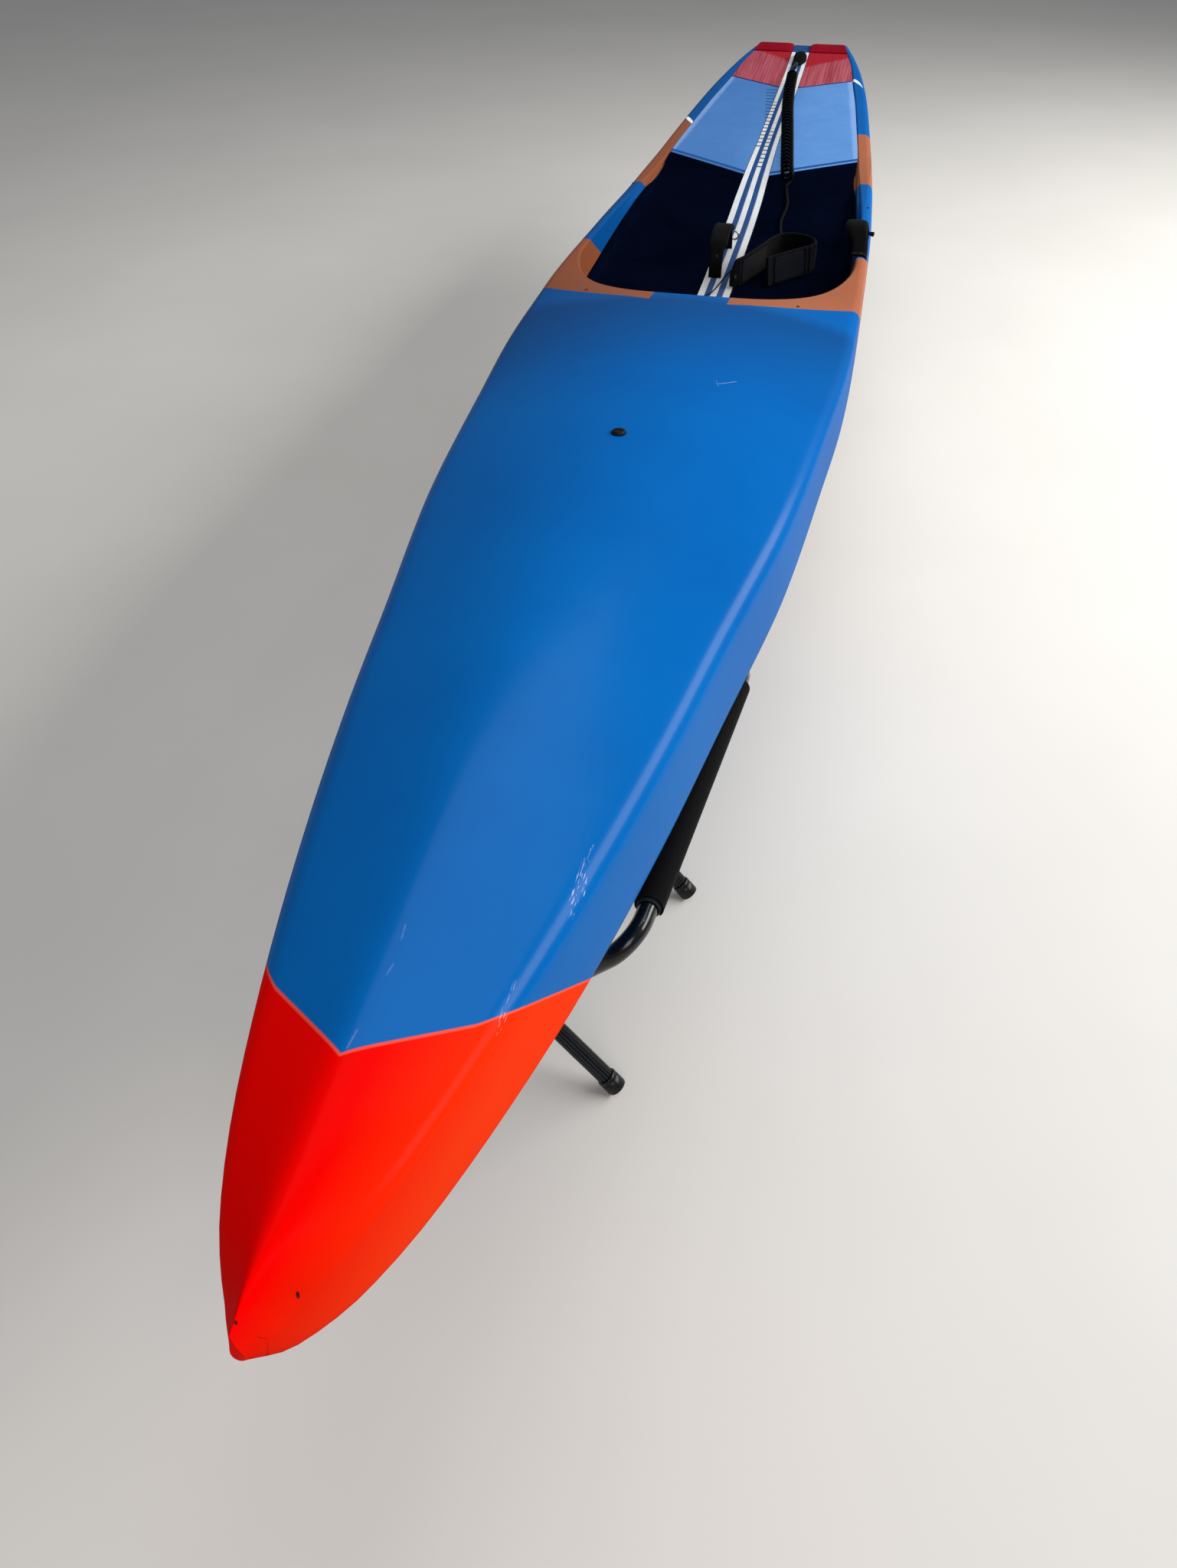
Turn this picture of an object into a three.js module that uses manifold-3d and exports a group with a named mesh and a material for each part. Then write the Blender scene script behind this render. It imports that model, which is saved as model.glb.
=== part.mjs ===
// Race paddleboard with a sunken standing tray, a coiled leash and two folding stands.
// Millimetres, +X to the nose, +Y to port, +Z up, origin on the floor under mid-length.
import * as THREE from 'three';
import { mergeVertices } from 'three/addons/utils/BufferGeometryUtils.js';
import Module from 'manifold-3d';

const wasm = await Module();
wasm.setup();

// Driving dimensions
const LENGTH = 4267; // fourteen feet from nose to tail
const RIM = 620; // height of the tray's rim beside the paddler's feet, above the floor
const GAP = 0.4; // clearance between pieces that touch
const SHOULDER_R = 24; // rounding between the side walls and the deck
const FLARE = 1; // how much narrower the deck edge is than the lower rail
const FULLNESS = 2.5; // exponent of the bottom's curve: 2 is an ellipse, more is boxier
const RIM_WIDTH = 26; // from the board's side to the tray's edge
const LIP = 1904; // front of the tray, measured from the nose
const LIP_LENGTH = 400; // length of the rounded front of the tray
const WALL_SLOPE = 8; // how far the tray's wall leans in from rim to floor
const WALL_FILLET = 12; // widest chamfer between the tray's wall and its floor
const PAD = 5; // thickness of the deck pads
const PAD_LIFT = 1; // the pads' adhesive layer
const STRIP_HALF = 34; // half-width of the striped centre strip

// The hull's sections. s: distance from the nose. half: half-width at the lower rail.
// Heights from the rim datum: keel: bottom centre, rail: widest point, edge: deck edge, crown: deck centre.
const HULL_COLUMNS = ['s', 'half', 'keel', 'rail', 'edge', 'crown'];
const HULL = [
  [0, 5, -22, -13, -2, 14],
  [30, 26, -66, -39, 4, 24],
  [90, 55, -100, -60, 10, 33],
  [205, 90, -136, -77, 18, 44],
  [420, 141, -165, -90, 21, 54],
  [660, 184, -182, -97, 20, 62],
  [860, 213, -191, -101, 19, 66],
  [1200, 262, -200, -104, 15, 70],
  [1500, 287, -204, -102, 13, 71],
  [1800, 307, -204, -99, 12, 60],
  [1960, 310, -204, -97, 10, 40],
  [2150, 311, -204, -95, 6, 6],
  [2500, 309, -202, -94, -7, -7],
  [2850, 300, -198, -92, -16, -16],
  [3100, 288, -191, -88, -12, -12],
  [3400, 267, -172, -78, 5, 5],
  [3750, 239, -135, -50, 24, 24],
  [4000, 209, -95, -20, 39, 39],
  [4150, 180, -62, 0, 53, 53],
  [4267, 152, -28, 15, 63, 63],
];
// The tray's floor. s: distance from the nose. floor: height from the rim datum.
const TRAY_COLUMNS = ['s', 'floor'];
const TRAY = [
  [1905, -82], [2271, -80], [2471, -72], [2695, -61], [2848, -46], [2994, -29],
  [3262, -9], [3592, 9], [3925, 27], [4197, 51], [4320, 61],
];

// A smooth curve through one column of a table, with no overshoot between its rows
function column(rows, names, name) {
  const k = names.indexOf(name);
  const x = rows.map((row) => row[0]);
  const y = rows.map((row) => row[k]);
  const slope = x.slice(1).map((value, i) => (y[i + 1] - y[i]) / (value - x[i]));
  const tangent = y.map((_, i) => {
    if (i === 0) return slope[0];
    if (i === y.length - 1) return slope[i - 1];
    const [a, b] = [slope[i - 1], slope[i]];
    return a * b <= 0 ? 0 : (2 * a * b) / (a + b);
  });
  return (value) => {
    const v = THREE.MathUtils.clamp(value, x[0], x.at(-1));
    let i = 0;
    while (i < x.length - 2 && v > x[i + 1]) i += 1;
    const h = x[i + 1] - x[i];
    const t = (v - x[i]) / h;
    const [t2, t3] = [t * t, t * t * t];
    return (2 * t3 - 3 * t2 + 1) * y[i] + (t3 - 2 * t2 + t) * h * tangent[i]
      + (3 * t2 - 2 * t3) * y[i + 1] + (t3 - t2) * h * tangent[i + 1];
  };
}
const hull = Object.fromEntries(HULL_COLUMNS.slice(1).map((name) => [name, column(HULL, HULL_COLUMNS, name)]));
const trayFloor = column(TRAY, TRAY_COLUMNS, 'floor');

// The deck's crown across its width, from 0 at its edge to 1 at the centre: a soft ridge at the nose, an arch at mid-length
function ridgeRound(s) {
  const nose = 0.5 * (1 - THREE.MathUtils.smoothstep(s, 60, 260));
  return nose + THREE.MathUtils.lerp(0.18, 1.2, THREE.MathUtils.smoothstep(s, 300, 1700));
}
function deckRise(s, f) {
  const round = ridgeRound(s);
  const full = Math.hypot(1, round);
  return (full - Math.hypot(f, round)) / (full - round);
}

// A point given by its distance from the nose, its side and its height from the rim datum
const at = (s, y, z) => new THREE.Vector3(LENGTH / 2 - s, y, RIM + z);

// Solids
function geometryOf(points, faces) {
  const geometry = new THREE.BufferGeometry();
  geometry.setAttribute('position', new THREE.BufferAttribute(new Float32Array(points.flatMap((p) => [p.x, p.y, p.z])), 3));
  geometry.setIndex(faces.flat());
  return outward(geometry);
}

function volume(geometry) {
  const p = geometry.attributes.position;
  const index = geometry.index.array;
  const [a, b, c] = [new THREE.Vector3(), new THREE.Vector3(), new THREE.Vector3()];
  let sum = 0;
  for (let i = 0; i < index.length; i += 3) {
    a.fromBufferAttribute(p, index[i]);
    b.fromBufferAttribute(p, index[i + 1]);
    c.fromBufferAttribute(p, index[i + 2]);
    sum += a.dot(b.cross(c));
  }
  return sum / 6;
}

function outward(geometry) {
  if (volume(geometry) < 0) geometry.index.array.reverse();
  return geometry;
}

// A closed body through rings of equally many points, with both ends closed by fans
function loft(rings) {
  const n = rings[0].length;
  const points = rings.flat();
  const faces = [];
  for (let i = 0; i < rings.length - 1; i += 1) {
    for (let j = 0; j < n; j += 1) {
      const [a, b] = [i * n + j, i * n + ((j + 1) % n)];
      faces.push([a, b, a + n], [b, b + n, a + n]);
    }
  }
  for (const [start, flip] of [[0, false], [(rings.length - 1) * n, true]]) {
    const middle = rings[start / n].reduce((sum, p) => sum.add(p), new THREE.Vector3()).divideScalar(n);
    const hub = points.push(middle) - 1;
    for (let j = 0; j < n; j += 1) {
      const [a, b] = [start + j, start + ((j + 1) % n)];
      faces.push(flip ? [a, b, hub] : [b, a, hub]);
    }
  }
  return geometryOf(points, faces);
}

// A thin closed body over a grid of points of its underside, as thick as stated along Z
function slab(nu, nv, under, thickness) {
  const points = [];
  for (const lift of [0, 1]) {
    for (let i = 0; i <= nu; i += 1) {
      for (let j = 0; j <= nv; j += 1) {
        const p = under(i / nu, j / nv);
        const t = typeof thickness === 'function' ? thickness(i / nu, j / nv) : thickness;
        points.push(new THREE.Vector3(p.x, p.y, p.z + lift * t));
      }
    }
  }
  const id = (lift, i, j) => lift * (nu + 1) * (nv + 1) + i * (nv + 1) + j;
  const faces = [];
  const quad = (a, b, c, d) => faces.push([a, b, c], [a, c, d]);
  for (let i = 0; i < nu; i += 1) {
    for (let j = 0; j < nv; j += 1) {
      quad(id(0, i, j), id(0, i, j + 1), id(0, i + 1, j + 1), id(0, i + 1, j));
      quad(id(1, i, j), id(1, i + 1, j), id(1, i + 1, j + 1), id(1, i, j + 1));
    }
  }
  for (let i = 0; i < nu; i += 1) {
    quad(id(0, i, 0), id(0, i + 1, 0), id(1, i + 1, 0), id(1, i, 0));
    quad(id(0, i + 1, nv), id(0, i, nv), id(1, i, nv), id(1, i + 1, nv));
  }
  for (let j = 0; j < nv; j += 1) {
    quad(id(0, 0, j + 1), id(0, 0, j), id(1, 0, j), id(1, 0, j + 1));
    quad(id(0, nu, j), id(0, nu, j + 1), id(1, nu, j + 1), id(1, nu, j));
  }
  return geometryOf(points, faces);
}

function solid(geometry) {
  const plain = geometry.clone();
  plain.deleteAttribute('normal');
  plain.deleteAttribute('uv');
  const merged = mergeVertices(plain, 1e-4);
  return new wasm.Manifold(new wasm.Mesh({
    numProp: 3,
    vertProperties: new Float32Array(merged.attributes.position.array),
    triVerts: new Uint32Array(merged.index.array),
  }));
}

function meshOf(body) {
  const { vertProperties, triVerts } = body.getMesh();
  const geometry = new THREE.BufferGeometry();
  geometry.setAttribute('position', new THREE.BufferAttribute(new Float32Array(vertProperties), 3));
  geometry.setIndex([...triVerts]);
  return geometry;
}

const cut = (geometry, ...tools) => meshOf(tools.reduce((body, tool) => body.subtract(solid(tool)), solid(geometry)));
const join = (...parts) => meshOf(parts.map(solid).reduce((a, b) => a.add(b)));

// A round bar or ring between two points
function rod(from, to, radius, sides = 16) {
  const direction = to.clone().sub(from);
  const geometry = new THREE.CylinderGeometry(radius, radius, direction.length(), sides);
  geometry.applyQuaternion(new THREE.Quaternion().setFromUnitVectors(new THREE.Vector3(0, 1, 0), direction.clone().normalize()));
  return geometry.translate(...from.clone().add(to).divideScalar(2));
}

function sleeve(from, to, inner, outer, sides = 20) {
  const length = from.distanceTo(to);
  const profile = [[inner, 0], [outer, 0], [outer, length], [inner, length], [inner, 0]];
  const geometry = new THREE.LatheGeometry(profile.map(([r, h]) => new THREE.Vector2(r, h)), sides);
  const turn = new THREE.Quaternion().setFromUnitVectors(new THREE.Vector3(0, 1, 0), to.clone().sub(from).normalize());
  return geometry.applyQuaternion(turn).translate(from.x, from.y, from.z);
}

function circle(radius, sides) {
  const shape = new THREE.Shape();
  for (let i = 0; i < sides; i += 1) {
    const a = (2 * Math.PI * i) / sides;
    shape[i ? 'lineTo' : 'moveTo'](radius * Math.cos(a), radius * Math.sin(a));
  }
  shape.closePath();
  return shape;
}

function tube(curve, radius, steps, sides) {
  return new THREE.ExtrudeGeometry(circle(radius, sides), { extrudePath: curve, steps, bevelEnabled: false });
}

const box = (sizeX, sizeY, sizeZ, centre) => new THREE.BoxGeometry(sizeX, sizeY, sizeZ).translate(...centre);

const board = new THREE.Group();
const finishes = {
  blue: { color: 0x2f9fdc, roughness: 0.2, metalness: 0 },
  navy: { color: 0x14203f, roughness: 0.9, metalness: 0 },
  lightBlue: { color: 0x86b4e6, roughness: 0.85, metalness: 0 },
  red: { color: 0xc45a68, roughness: 0.9, metalness: 0 },
  darkRed: { color: 0xa00a30, roughness: 0.9, metalness: 0 },
  white: { color: 0xe8eaec, roughness: 0.8, metalness: 0 },
  black: { color: 0x141416, roughness: 0.4, metalness: 0 },
  carbon: { color: 0x1b1c1f, roughness: 0.3, metalness: 0 },
  webbing: { color: 0x1a1a1c, roughness: 0.9, metalness: 0 },
  grey: { color: 0x4a4a50, roughness: 0.8, metalness: 0 },
  tube: { color: 0x18191b, roughness: 0.25, metalness: 0.3 },
  fluted: { color: 0x505058, roughness: 0.5, metalness: 0.5 },
  foam: { color: 0x66666a, roughness: 0.95, metalness: 0 },
  steel: { color: 0xb4b8bc, roughness: 0.3, metalness: 1 },
};

function add(name, geometry, finish, group = board) {
  const mesh = new THREE.Mesh(geometry, new THREE.MeshStandardMaterial(finishes[finish]));
  mesh.name = name;
  group.add(mesh);
  return mesh;
}

// Hull
function hullRing(s) {
  const half = hull.half(s);
  const [keel, rail, edge, crown] = [hull.keel(s), hull.rail(s), hull.edge(s), hull.crown(s)];
  const radius = Math.min(SHOULDER_R, 0.42 * half, 0.6 * (edge - rail));
  const top = half - Math.min(FLARE, 0.12 * half);
  const power = 2 / FULLNESS;
  const side = [];
  const [bottomSteps, shoulderSteps] = [7, 4];
  for (let i = 1; i <= bottomSteps; i += 1) {
    const a = (i / bottomSteps) * (Math.PI / 2);
    side.push([half * Math.sin(a) ** power, rail - (rail - keel) * Math.cos(a) ** power]);
  }
  // The shoulder's rounding ends the side upright and runs into the deck's slope
  const flat = top - radius;
  const round = ridgeRound(s);
  const full = Math.hypot(1, round);
  const slope = (crown - edge) / (full * (full - round) * flat);
  const depth = edge - rail;
  const corner = new THREE.Vector2(top, edge - Math.min(slope * radius, 0.45 * depth));
  const foot = new THREE.Vector2(top, Math.max(Math.min(edge - radius, corner.y - 0.6 * radius), rail + 0.1 * depth));
  const start = new THREE.Vector2(flat, edge);
  const bend = 0.5523; // a cubic curve's closest fit to a quarter circle
  const rounding = new THREE.CubicBezierCurve(foot, foot.clone().lerp(corner, bend), start.clone().lerp(corner, bend), start);
  for (let i = 0; i <= shoulderSteps; i += 1) side.push(rounding.getPoint(i / shoulderSteps).toArray());
  for (const f of [0.75, 0.5, 0.25, 0.1]) side.push([flat * f, edge + (crown - edge) * deckRise(s, f)]);
  const port = side.map(([y, z]) => at(s, y, z));
  const starboard = side.map(([y, z]) => at(s, -y, z)).reverse();
  return [at(s, 0, keel), ...port, at(s, 0, crown), ...starboard];
}

const HULL_STEP = 120;
const stations = [0, 8, 18, 30, 50, 80, 120, 165, 215, 280, 350];
while (stations.at(-1) < LENGTH - HULL_STEP) stations.push(stations.at(-1) + HULL_STEP);
stations.push(LENGTH);

// The hull's underside at a distance from the nose and a side
function hullBottom(s, y) {
  const ratio = Math.min(Math.abs(y) / hull.half(s), 1);
  const sine = ratio ** (FULLNESS / 2);
  return hull.rail(s) - (hull.rail(s) - hull.keel(s)) * Math.sqrt(1 - sine * sine) ** (2 / FULLNESS);
}

// The tray's edge, an ellipse at its front, as half the width at a distance from the nose
function trayHalf(s) {
  const full = hull.half(s) - RIM_WIDTH;
  const back = LIP + LIP_LENGTH - s;
  if (back <= 0) return full;
  return full * Math.sqrt(Math.max(0, 1 - (back / LIP_LENGTH) ** 2));
}

// A point of the tray's edge at an angle round its front, moved inwards: distance from the nose, side
function lipPoint(angle, inset) {
  const s = LIP + LIP_LENGTH * (1 - Math.cos(angle));
  const width = hull.half(s) - RIM_WIDTH;
  const [ds, dy] = [Math.cos(angle) / LIP_LENGTH, -Math.sin(angle) / width];
  const length = Math.hypot(ds, dy);
  return [s + (inset * ds) / length, width * Math.sin(angle) + (inset * dy) / length];
}

// Half the width of the curve that lies a given inset inside the tray's edge
function insetHalf(s, inset) {
  if (s >= LIP + LIP_LENGTH) return trayHalf(s) - inset;
  let [low, high] = [0, Math.PI / 2];
  for (let i = 0; i < 30; i += 1) {
    const middle = (low + high) / 2;
    if (lipPoint(middle, inset)[0] < s) low = middle;
    else high = middle;
  }
  return lipPoint(low, inset)[1];
}
const fillet = (s) => THREE.MathUtils.clamp(0.35 * (hull.edge(s) - trayFloor(s)), 3, WALL_FILLET);

function trayTool() {
  const cover = 200;
  const lipSteps = 12;
  const places = [];
  for (let i = 1; i <= lipSteps; i += 1) {
    const angle = (i / lipSteps) * (Math.PI / 2);
    places.push((inset) => lipPoint(angle, inset));
  }
  for (let s = LIP + LIP_LENGTH + HULL_STEP / 2; s < LENGTH + 60; s += HULL_STEP / 2) {
    places.push((inset) => [s, trayHalf(s) - inset]);
  }
  const rings = places.map((place) => {
    const [s] = place(0);
    const corner = fillet(s);
    const side = [[0, cover], [0, hull.edge(s) - 4], [WALL_SLOPE, trayFloor(s) + corner],
      [WALL_SLOPE + corner, trayFloor(place(WALL_SLOPE + corner)[0])]];
    const half = side.map(([inset, z]) => [...place(inset), z]);
    const port = half.map(([x, y, z]) => at(x, y, z));
    const starboard = half.map(([x, y, z]) => at(x, -y, z)).reverse();
    return [...port, ...starboard];
  });
  return loft(rings);
}

// Fin box and fin under the tail
const FIN_BOX = { s: 3905, length: 250, width: 24, depth: 30 };
const finFloor = hullBottom(FIN_BOX.s, 0);
const PLUG = { s: 4130, radius: 15, depth: 20 };
const VENT = { s: 1263, y: 0, radius: 11 };

const finPocket = box(FIN_BOX.length + 2 * GAP, FIN_BOX.width + 2 * GAP, 80,
  at(FIN_BOX.s, 0, finFloor - 40 + FIN_BOX.depth));
const plugTop = trayFloor(PLUG.s) + PAD + GAP;
const plugPocket = rod(at(PLUG.s, 0, plugTop - PLUG.depth - GAP), at(PLUG.s, 0, plugTop + 40), PLUG.radius + GAP);
add('hull', cut(loft(stations.map(hullRing)), trayTool(), finPocket, plugPocket), 'blue');

const boxTop = finFloor + FIN_BOX.depth - GAP;
const boxBottom = finFloor - 2;
const finBoxBody = box(FIN_BOX.length, FIN_BOX.width, boxTop - boxBottom, at(FIN_BOX.s, 0, (boxTop + boxBottom) / 2));
const finSlot = box(FIN_BOX.length - 20, 10, 60, at(FIN_BOX.s, 0, boxBottom - 30 + 22));
add('fin_box', cut(finBoxBody, finSlot), 'black');

function finShape() {
  const shape = new THREE.Shape();
  const depth = 200;
  shape.moveTo(95, 0);
  shape.quadraticCurveTo(60, -110, -75, -depth);
  shape.quadraticCurveTo(-100, -depth - 4, -104, -depth + 10);
  shape.quadraticCurveTo(-70, -90, -70, 0);
  shape.closePath();
  return shape;
}
const blade = new THREE.ExtrudeGeometry(finShape(), { depth: 8, bevelEnabled: false, curveSegments: 8 });
blade.rotateX(Math.PI / 2).translate(0, 4, 0);
const finAt = at(FIN_BOX.s, 0, boxBottom - GAP);
blade.translate(finAt.x, finAt.y, finAt.z);
const finTab = box(FIN_BOX.length - 80, 9.2, 20 + GAP, [finAt.x + 5, 0, finAt.z + 10]);
add('fin', join(blade, finTab), 'carbon');

// Leash plug in the tail, with its cross pin
const plugProfile = [[0, 0], [PLUG.radius, 0], [PLUG.radius, PLUG.depth], [PLUG.radius - 3, PLUG.depth],
  [PLUG.radius - 3, 4], [0, 4]];
const plugCup = new THREE.LatheGeometry(plugProfile.map(([r, h]) => new THREE.Vector2(r, h)), 20);
plugCup.rotateX(Math.PI / 2).translate(...at(PLUG.s, 0, plugTop - PLUG.depth));
const pinZ = plugTop - 7;
const plugPin = rod(at(PLUG.s, -PLUG.radius + 1.5, pinZ), at(PLUG.s, PLUG.radius - 1.5, pinZ), 2.5, 8);
add('leash_plug', join(plugCup, plugPin), 'black');

// Air vent on the foredeck
function deckHeight(s, y) {
  const half = hull.half(s);
  const flat = half - Math.min(FLARE, 0.12 * half) - SHOULDER_R;
  const f = Math.min(1, Math.abs(y) / flat);
  return hull.edge(s) + (hull.crown(s) - hull.edge(s)) * deckRise(s, f);
}
const ventTop = deckHeight(VENT.s, VENT.y);
add('vent', rod(at(VENT.s, VENT.y, ventTop + GAP), at(VENT.s, VENT.y, ventTop + GAP + 4), VENT.radius), 'black');

// Deck pads. The boundaries between them are shallow V lines, given at the centre and at the side.
const vLine = (centre, side, half) => (y) => centre + ((side - centre) * Math.abs(y)) / half;
const PADS = [
  { name: 'front_pad', finish: 'navy', from: () => 1960, to: vLine(2985, 3140, 247), rows: 22 },
  { name: 'middle_pad', finish: 'lightBlue', from: vLine(2988, 3143, 247), to: vLine(3790, 3930, 182), rows: 8 },
  { name: 'tail_pad', finish: 'red', from: vLine(3793, 3933, 182), to: () => 4172, rows: 4 },
];
const padSide = (side, y0, fromS, toS) => (u, v) => {
  let s = fromS(y0) + u * (toS(y0) - fromS(y0));
  let y = y0;
  for (let i = 0; i < 8; i += 1) {
    y = y0 + v * (insetHalf(s, WALL_SLOPE + fillet(s) + 1) - y0);
    s = fromS(y) + u * (toS(y) - fromS(y));
  }
  return at(s, side * y, trayFloor(s) + PAD_LIFT);
};
for (const { name, finish, from, to, rows } of PADS) {
  for (const [label, side] of [['port', 1], ['starboard', -1]]) {
    add(`${name}_${label}`, slab(rows, 4, padSide(side, STRIP_HALF + 1, from, to), PAD), finish);
  }
}
for (const [label, side] of [['port', 1], ['starboard', -1]]) {
  const kick = padSide(side, STRIP_HALF + 1, () => 4174, () => 4252);
  add(`kick_pad_${label}`, slab(3, 2, kick, (u) => PAD + 13 * Math.sin(Math.PI * Math.min(1, 0.15 + 0.6 * u))), 'darkRed');
}
const stripEnd = 4252;
const strip = slab(18, 2, (u, v) => {
  const s = 1945 + u * (stripEnd - 1945);
  return at(s, STRIP_HALF * (2 * v - 1), trayFloor(s) + PAD_LIFT);
}, PAD);
add('centre_strip', cut(strip, rod(at(PLUG.s, 0, plugTop - 40), at(PLUG.s, 0, plugTop + 40), PLUG.radius + 1)), 'white');

// Carry handle: a padded loop that stands on the centre line
const padTop = (s) => trayFloor(s) + PAD_LIFT + PAD;
const HANDLE = { from: 2360, to: 2548, height: 76, width: 33, thickness: 10, side: -7.5 };
function handleShape() {
  const [length, height, wall] = [HANDLE.to - HANDLE.from, HANDLE.height, HANDLE.thickness];
  const outer = new THREE.Shape();
  outer.moveTo(-length / 2, 0);
  outer.bezierCurveTo(-length / 2, height * 1.33, length / 2, height * 1.33, length / 2, 0);
  outer.lineTo(length / 2 - wall * 1.2, 0);
  outer.bezierCurveTo(length / 2 - wall, (height - wall) * 1.33, -length / 2 + wall, (height - wall) * 1.33,
    -length / 2 + wall * 1.2, 0);
  outer.closePath();
  return outer;
}
const handle = new THREE.ExtrudeGeometry(handleShape(), { depth: HANDLE.width, bevelEnabled: false, curveSegments: 8 });
handle.rotateX(Math.PI / 2);
const handleMiddle = (HANDLE.from + HANDLE.to) / 2;
const handleTilt = Math.atan2(padTop(HANDLE.to) - padTop(HANDLE.from), -(HANDLE.to - HANDLE.from));
handle.translate(0, HANDLE.width / 2, 0).rotateY(-(handleTilt - Math.PI));
handle.translate(...at(handleMiddle, HANDLE.side, (padTop(HANDLE.from) + padTop(HANDLE.to)) / 2 + 0.8));
add('carry_handle', handle, 'webbing');

// Side strap: a padded grab loop that stands on the port rim, its ends bent over the shoulder
const SIDE_STRAP = { from: 2350, to: 2500, height: 45, endWidth: 20, gripWidth: 41, endSide: 15, gripSide: 28.5 };
const strapGrip = (u) => THREE.MathUtils.smoothstep(u, 0.12, 0.4) * THREE.MathUtils.smoothstep(1 - u, 0.12, 0.4);
const strapThickness = (u) => 5 + 9 * strapGrip(u);
const strapPoint = (u, v) => {
  const s = SIDE_STRAP.from + u * (SIDE_STRAP.to - SIDE_STRAP.from);
  const grip = strapGrip(u);
  const width = THREE.MathUtils.lerp(SIDE_STRAP.endWidth, SIDE_STRAP.gripWidth, grip);
  const y = hull.half(s) - THREE.MathUtils.lerp(SIDE_STRAP.endSide, SIDE_STRAP.gripSide, grip) + (v - 0.5) * width;
  const corner = hull.half(s) - FLARE - SHOULDER_R;
  const drop = y > corner ? SHOULDER_R - Math.sqrt(Math.max(0, SHOULDER_R ** 2 - (y - corner) ** 2)) : 0;
  const arch = (SIDE_STRAP.height - 15) * Math.sin(Math.PI * THREE.MathUtils.clamp((u - 0.1) / 0.8, 0, 1)) ** 0.75;
  return at(s, y, hull.edge(s) - drop * (1 - grip) + GAP + 0.3 + arch);
};
add('side_strap', slab(16, 5, strapPoint, strapThickness), 'webbing');

// Leash: padded webbing on the plug, a swivel, the cord's straight tail, its coil, its lead and the ankle cuff
const LEASH = { coilRadius: 16, cordRadius: 3.5, swivelRadius: 7 };
const SAVER = { from: PLUG.s + 4, to: 4030, half: 17, flat: 5, crown: 17 };
const LEASH_LIFT = 0.6; // clearance between the leash and the pads
const onPads = (s, y, lift) => at(s, y, padTop(s) + lift);
const saverPath = (u, v) => {
  const s = SAVER.from + u * (SAVER.to - SAVER.from);
  const half = SAVER.half * (0.6 + 0.4 * Math.sin(Math.PI * u));
  return at(s, half * (2 * v - 1), padTop(s) + 0.8);
};
add('leash_webbing', slab(8, 4, saverPath, (u, v) => SAVER.flat
  + SAVER.crown * Math.sin(Math.PI * u) * Math.sqrt(1 - 0.75 * (2 * v - 1) ** 2)), 'webbing');
const swivelFrom = onPads(4029, 0, LEASH.swivelRadius + LEASH_LIFT);
const swivelTo = onPads(3976.3, 0, LEASH.swivelRadius + LEASH_LIFT);
add('leash_swivel', rod(swivelFrom, swivelTo, LEASH.swivelRadius, 12), 'steel');

// The cord's routes, each point by hand: distance from the nose, side. The tail also has heights over the pads.
const TAIL_ROUTE = [[3975.9, 0, 7.6], [3955, 0.5, 6.2], [3930, 1.2, 4.6], [3905, 2.1, 4.1], [3885.6, 2.8, 4.1]];
const COIL_ROUTE = [[3884, 2.8], [3850, 4], [3740, 9], [3625, 16], [3500, 26], [3400, 36], [3300, 46],
  [3200, 56], [3120, 64], [3050, 71], [2980, 79], [2930, 84.7]];
const LEAD_ROUTE = [[2929.5, 84.8], [2918, 86.2], [2890, 90], [2850, 96], [2810, 99], [2770, 97], [2725, 95],
  [2680, 98], [2640, 104], [2600, 112], [2560, 120], [2525, 128], [2508, 131.5], [2497.6, 133.5]];
const coilHeight = LEASH.coilRadius + LEASH_LIFT;
const leadHeight = LEASH.cordRadius + LEASH_LIFT;
const tailPoints = TAIL_ROUTE.map(([s, y, lift]) => onPads(s, y, lift));
const coilPoints = COIL_ROUTE.map(([s, y]) => onPads(s, y, coilHeight));
const leadPoints = LEAD_ROUTE.map(([s, y]) => onPads(s, y, leadHeight));
add('leash_tail', tube(new THREE.CatmullRomCurve3(tailPoints), LEASH.cordRadius, 12, 8), 'black');
add('leash_coil', tube(new THREE.CatmullRomCurve3(coilPoints), LEASH.coilRadius, 36, 10), 'black');
add('leash_lead', tube(new THREE.CatmullRomCurve3(leadPoints), LEASH.cordRadius, 44, 8), 'black');

// The cuff lies opened: a padded strap bent round, its points (distance from the nose, side) from its front end to its tip
const CUFF = { s: 2425, y: 130, wall: 8, height: 60 };
const CUFF_ROUTE = [[2338, 104], [2362, 127], [2386, 150], [2410, 172], [2430, 188], [2448, 192.5], [2468, 186],
  [2483, 171], [2490.5, 152], [2492, 134], [2482, 113], [2455, 97], [2420, 84.5], [2384, 71.5], [2345, 56], [2320, 42], [2304, 29]];
const cuffBase = onPads(CUFF.s, CUFF.y, 0);
const [cuffFront, cuffBack] = [CUFF.s - 121, CUFF.s + 70];
const cuffTilt = Math.atan2(padTop(cuffBack) - padTop(cuffFront), cuffFront - cuffBack) - Math.PI;
function bandOutline(route, width, steps) {
  const line = new THREE.CatmullRomCurve3(route.map(([s, y]) => new THREE.Vector3(CUFF.s - s, y - CUFF.y, 0)));
  const sides = [[], []];
  for (let i = 0; i <= steps; i += 1) {
    const [point, along] = [line.getPoint(i / steps), line.getTangent(i / steps)];
    const across = new THREE.Vector2(-along.y, along.x).multiplyScalar(width / 2);
    sides[0].push(new THREE.Vector2(point.x + across.x, point.y + across.y));
    sides[1].unshift(new THREE.Vector2(point.x - across.x, point.y - across.y));
  }
  return new THREE.Shape([...sides[0], ...sides[1]]);
}
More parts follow.
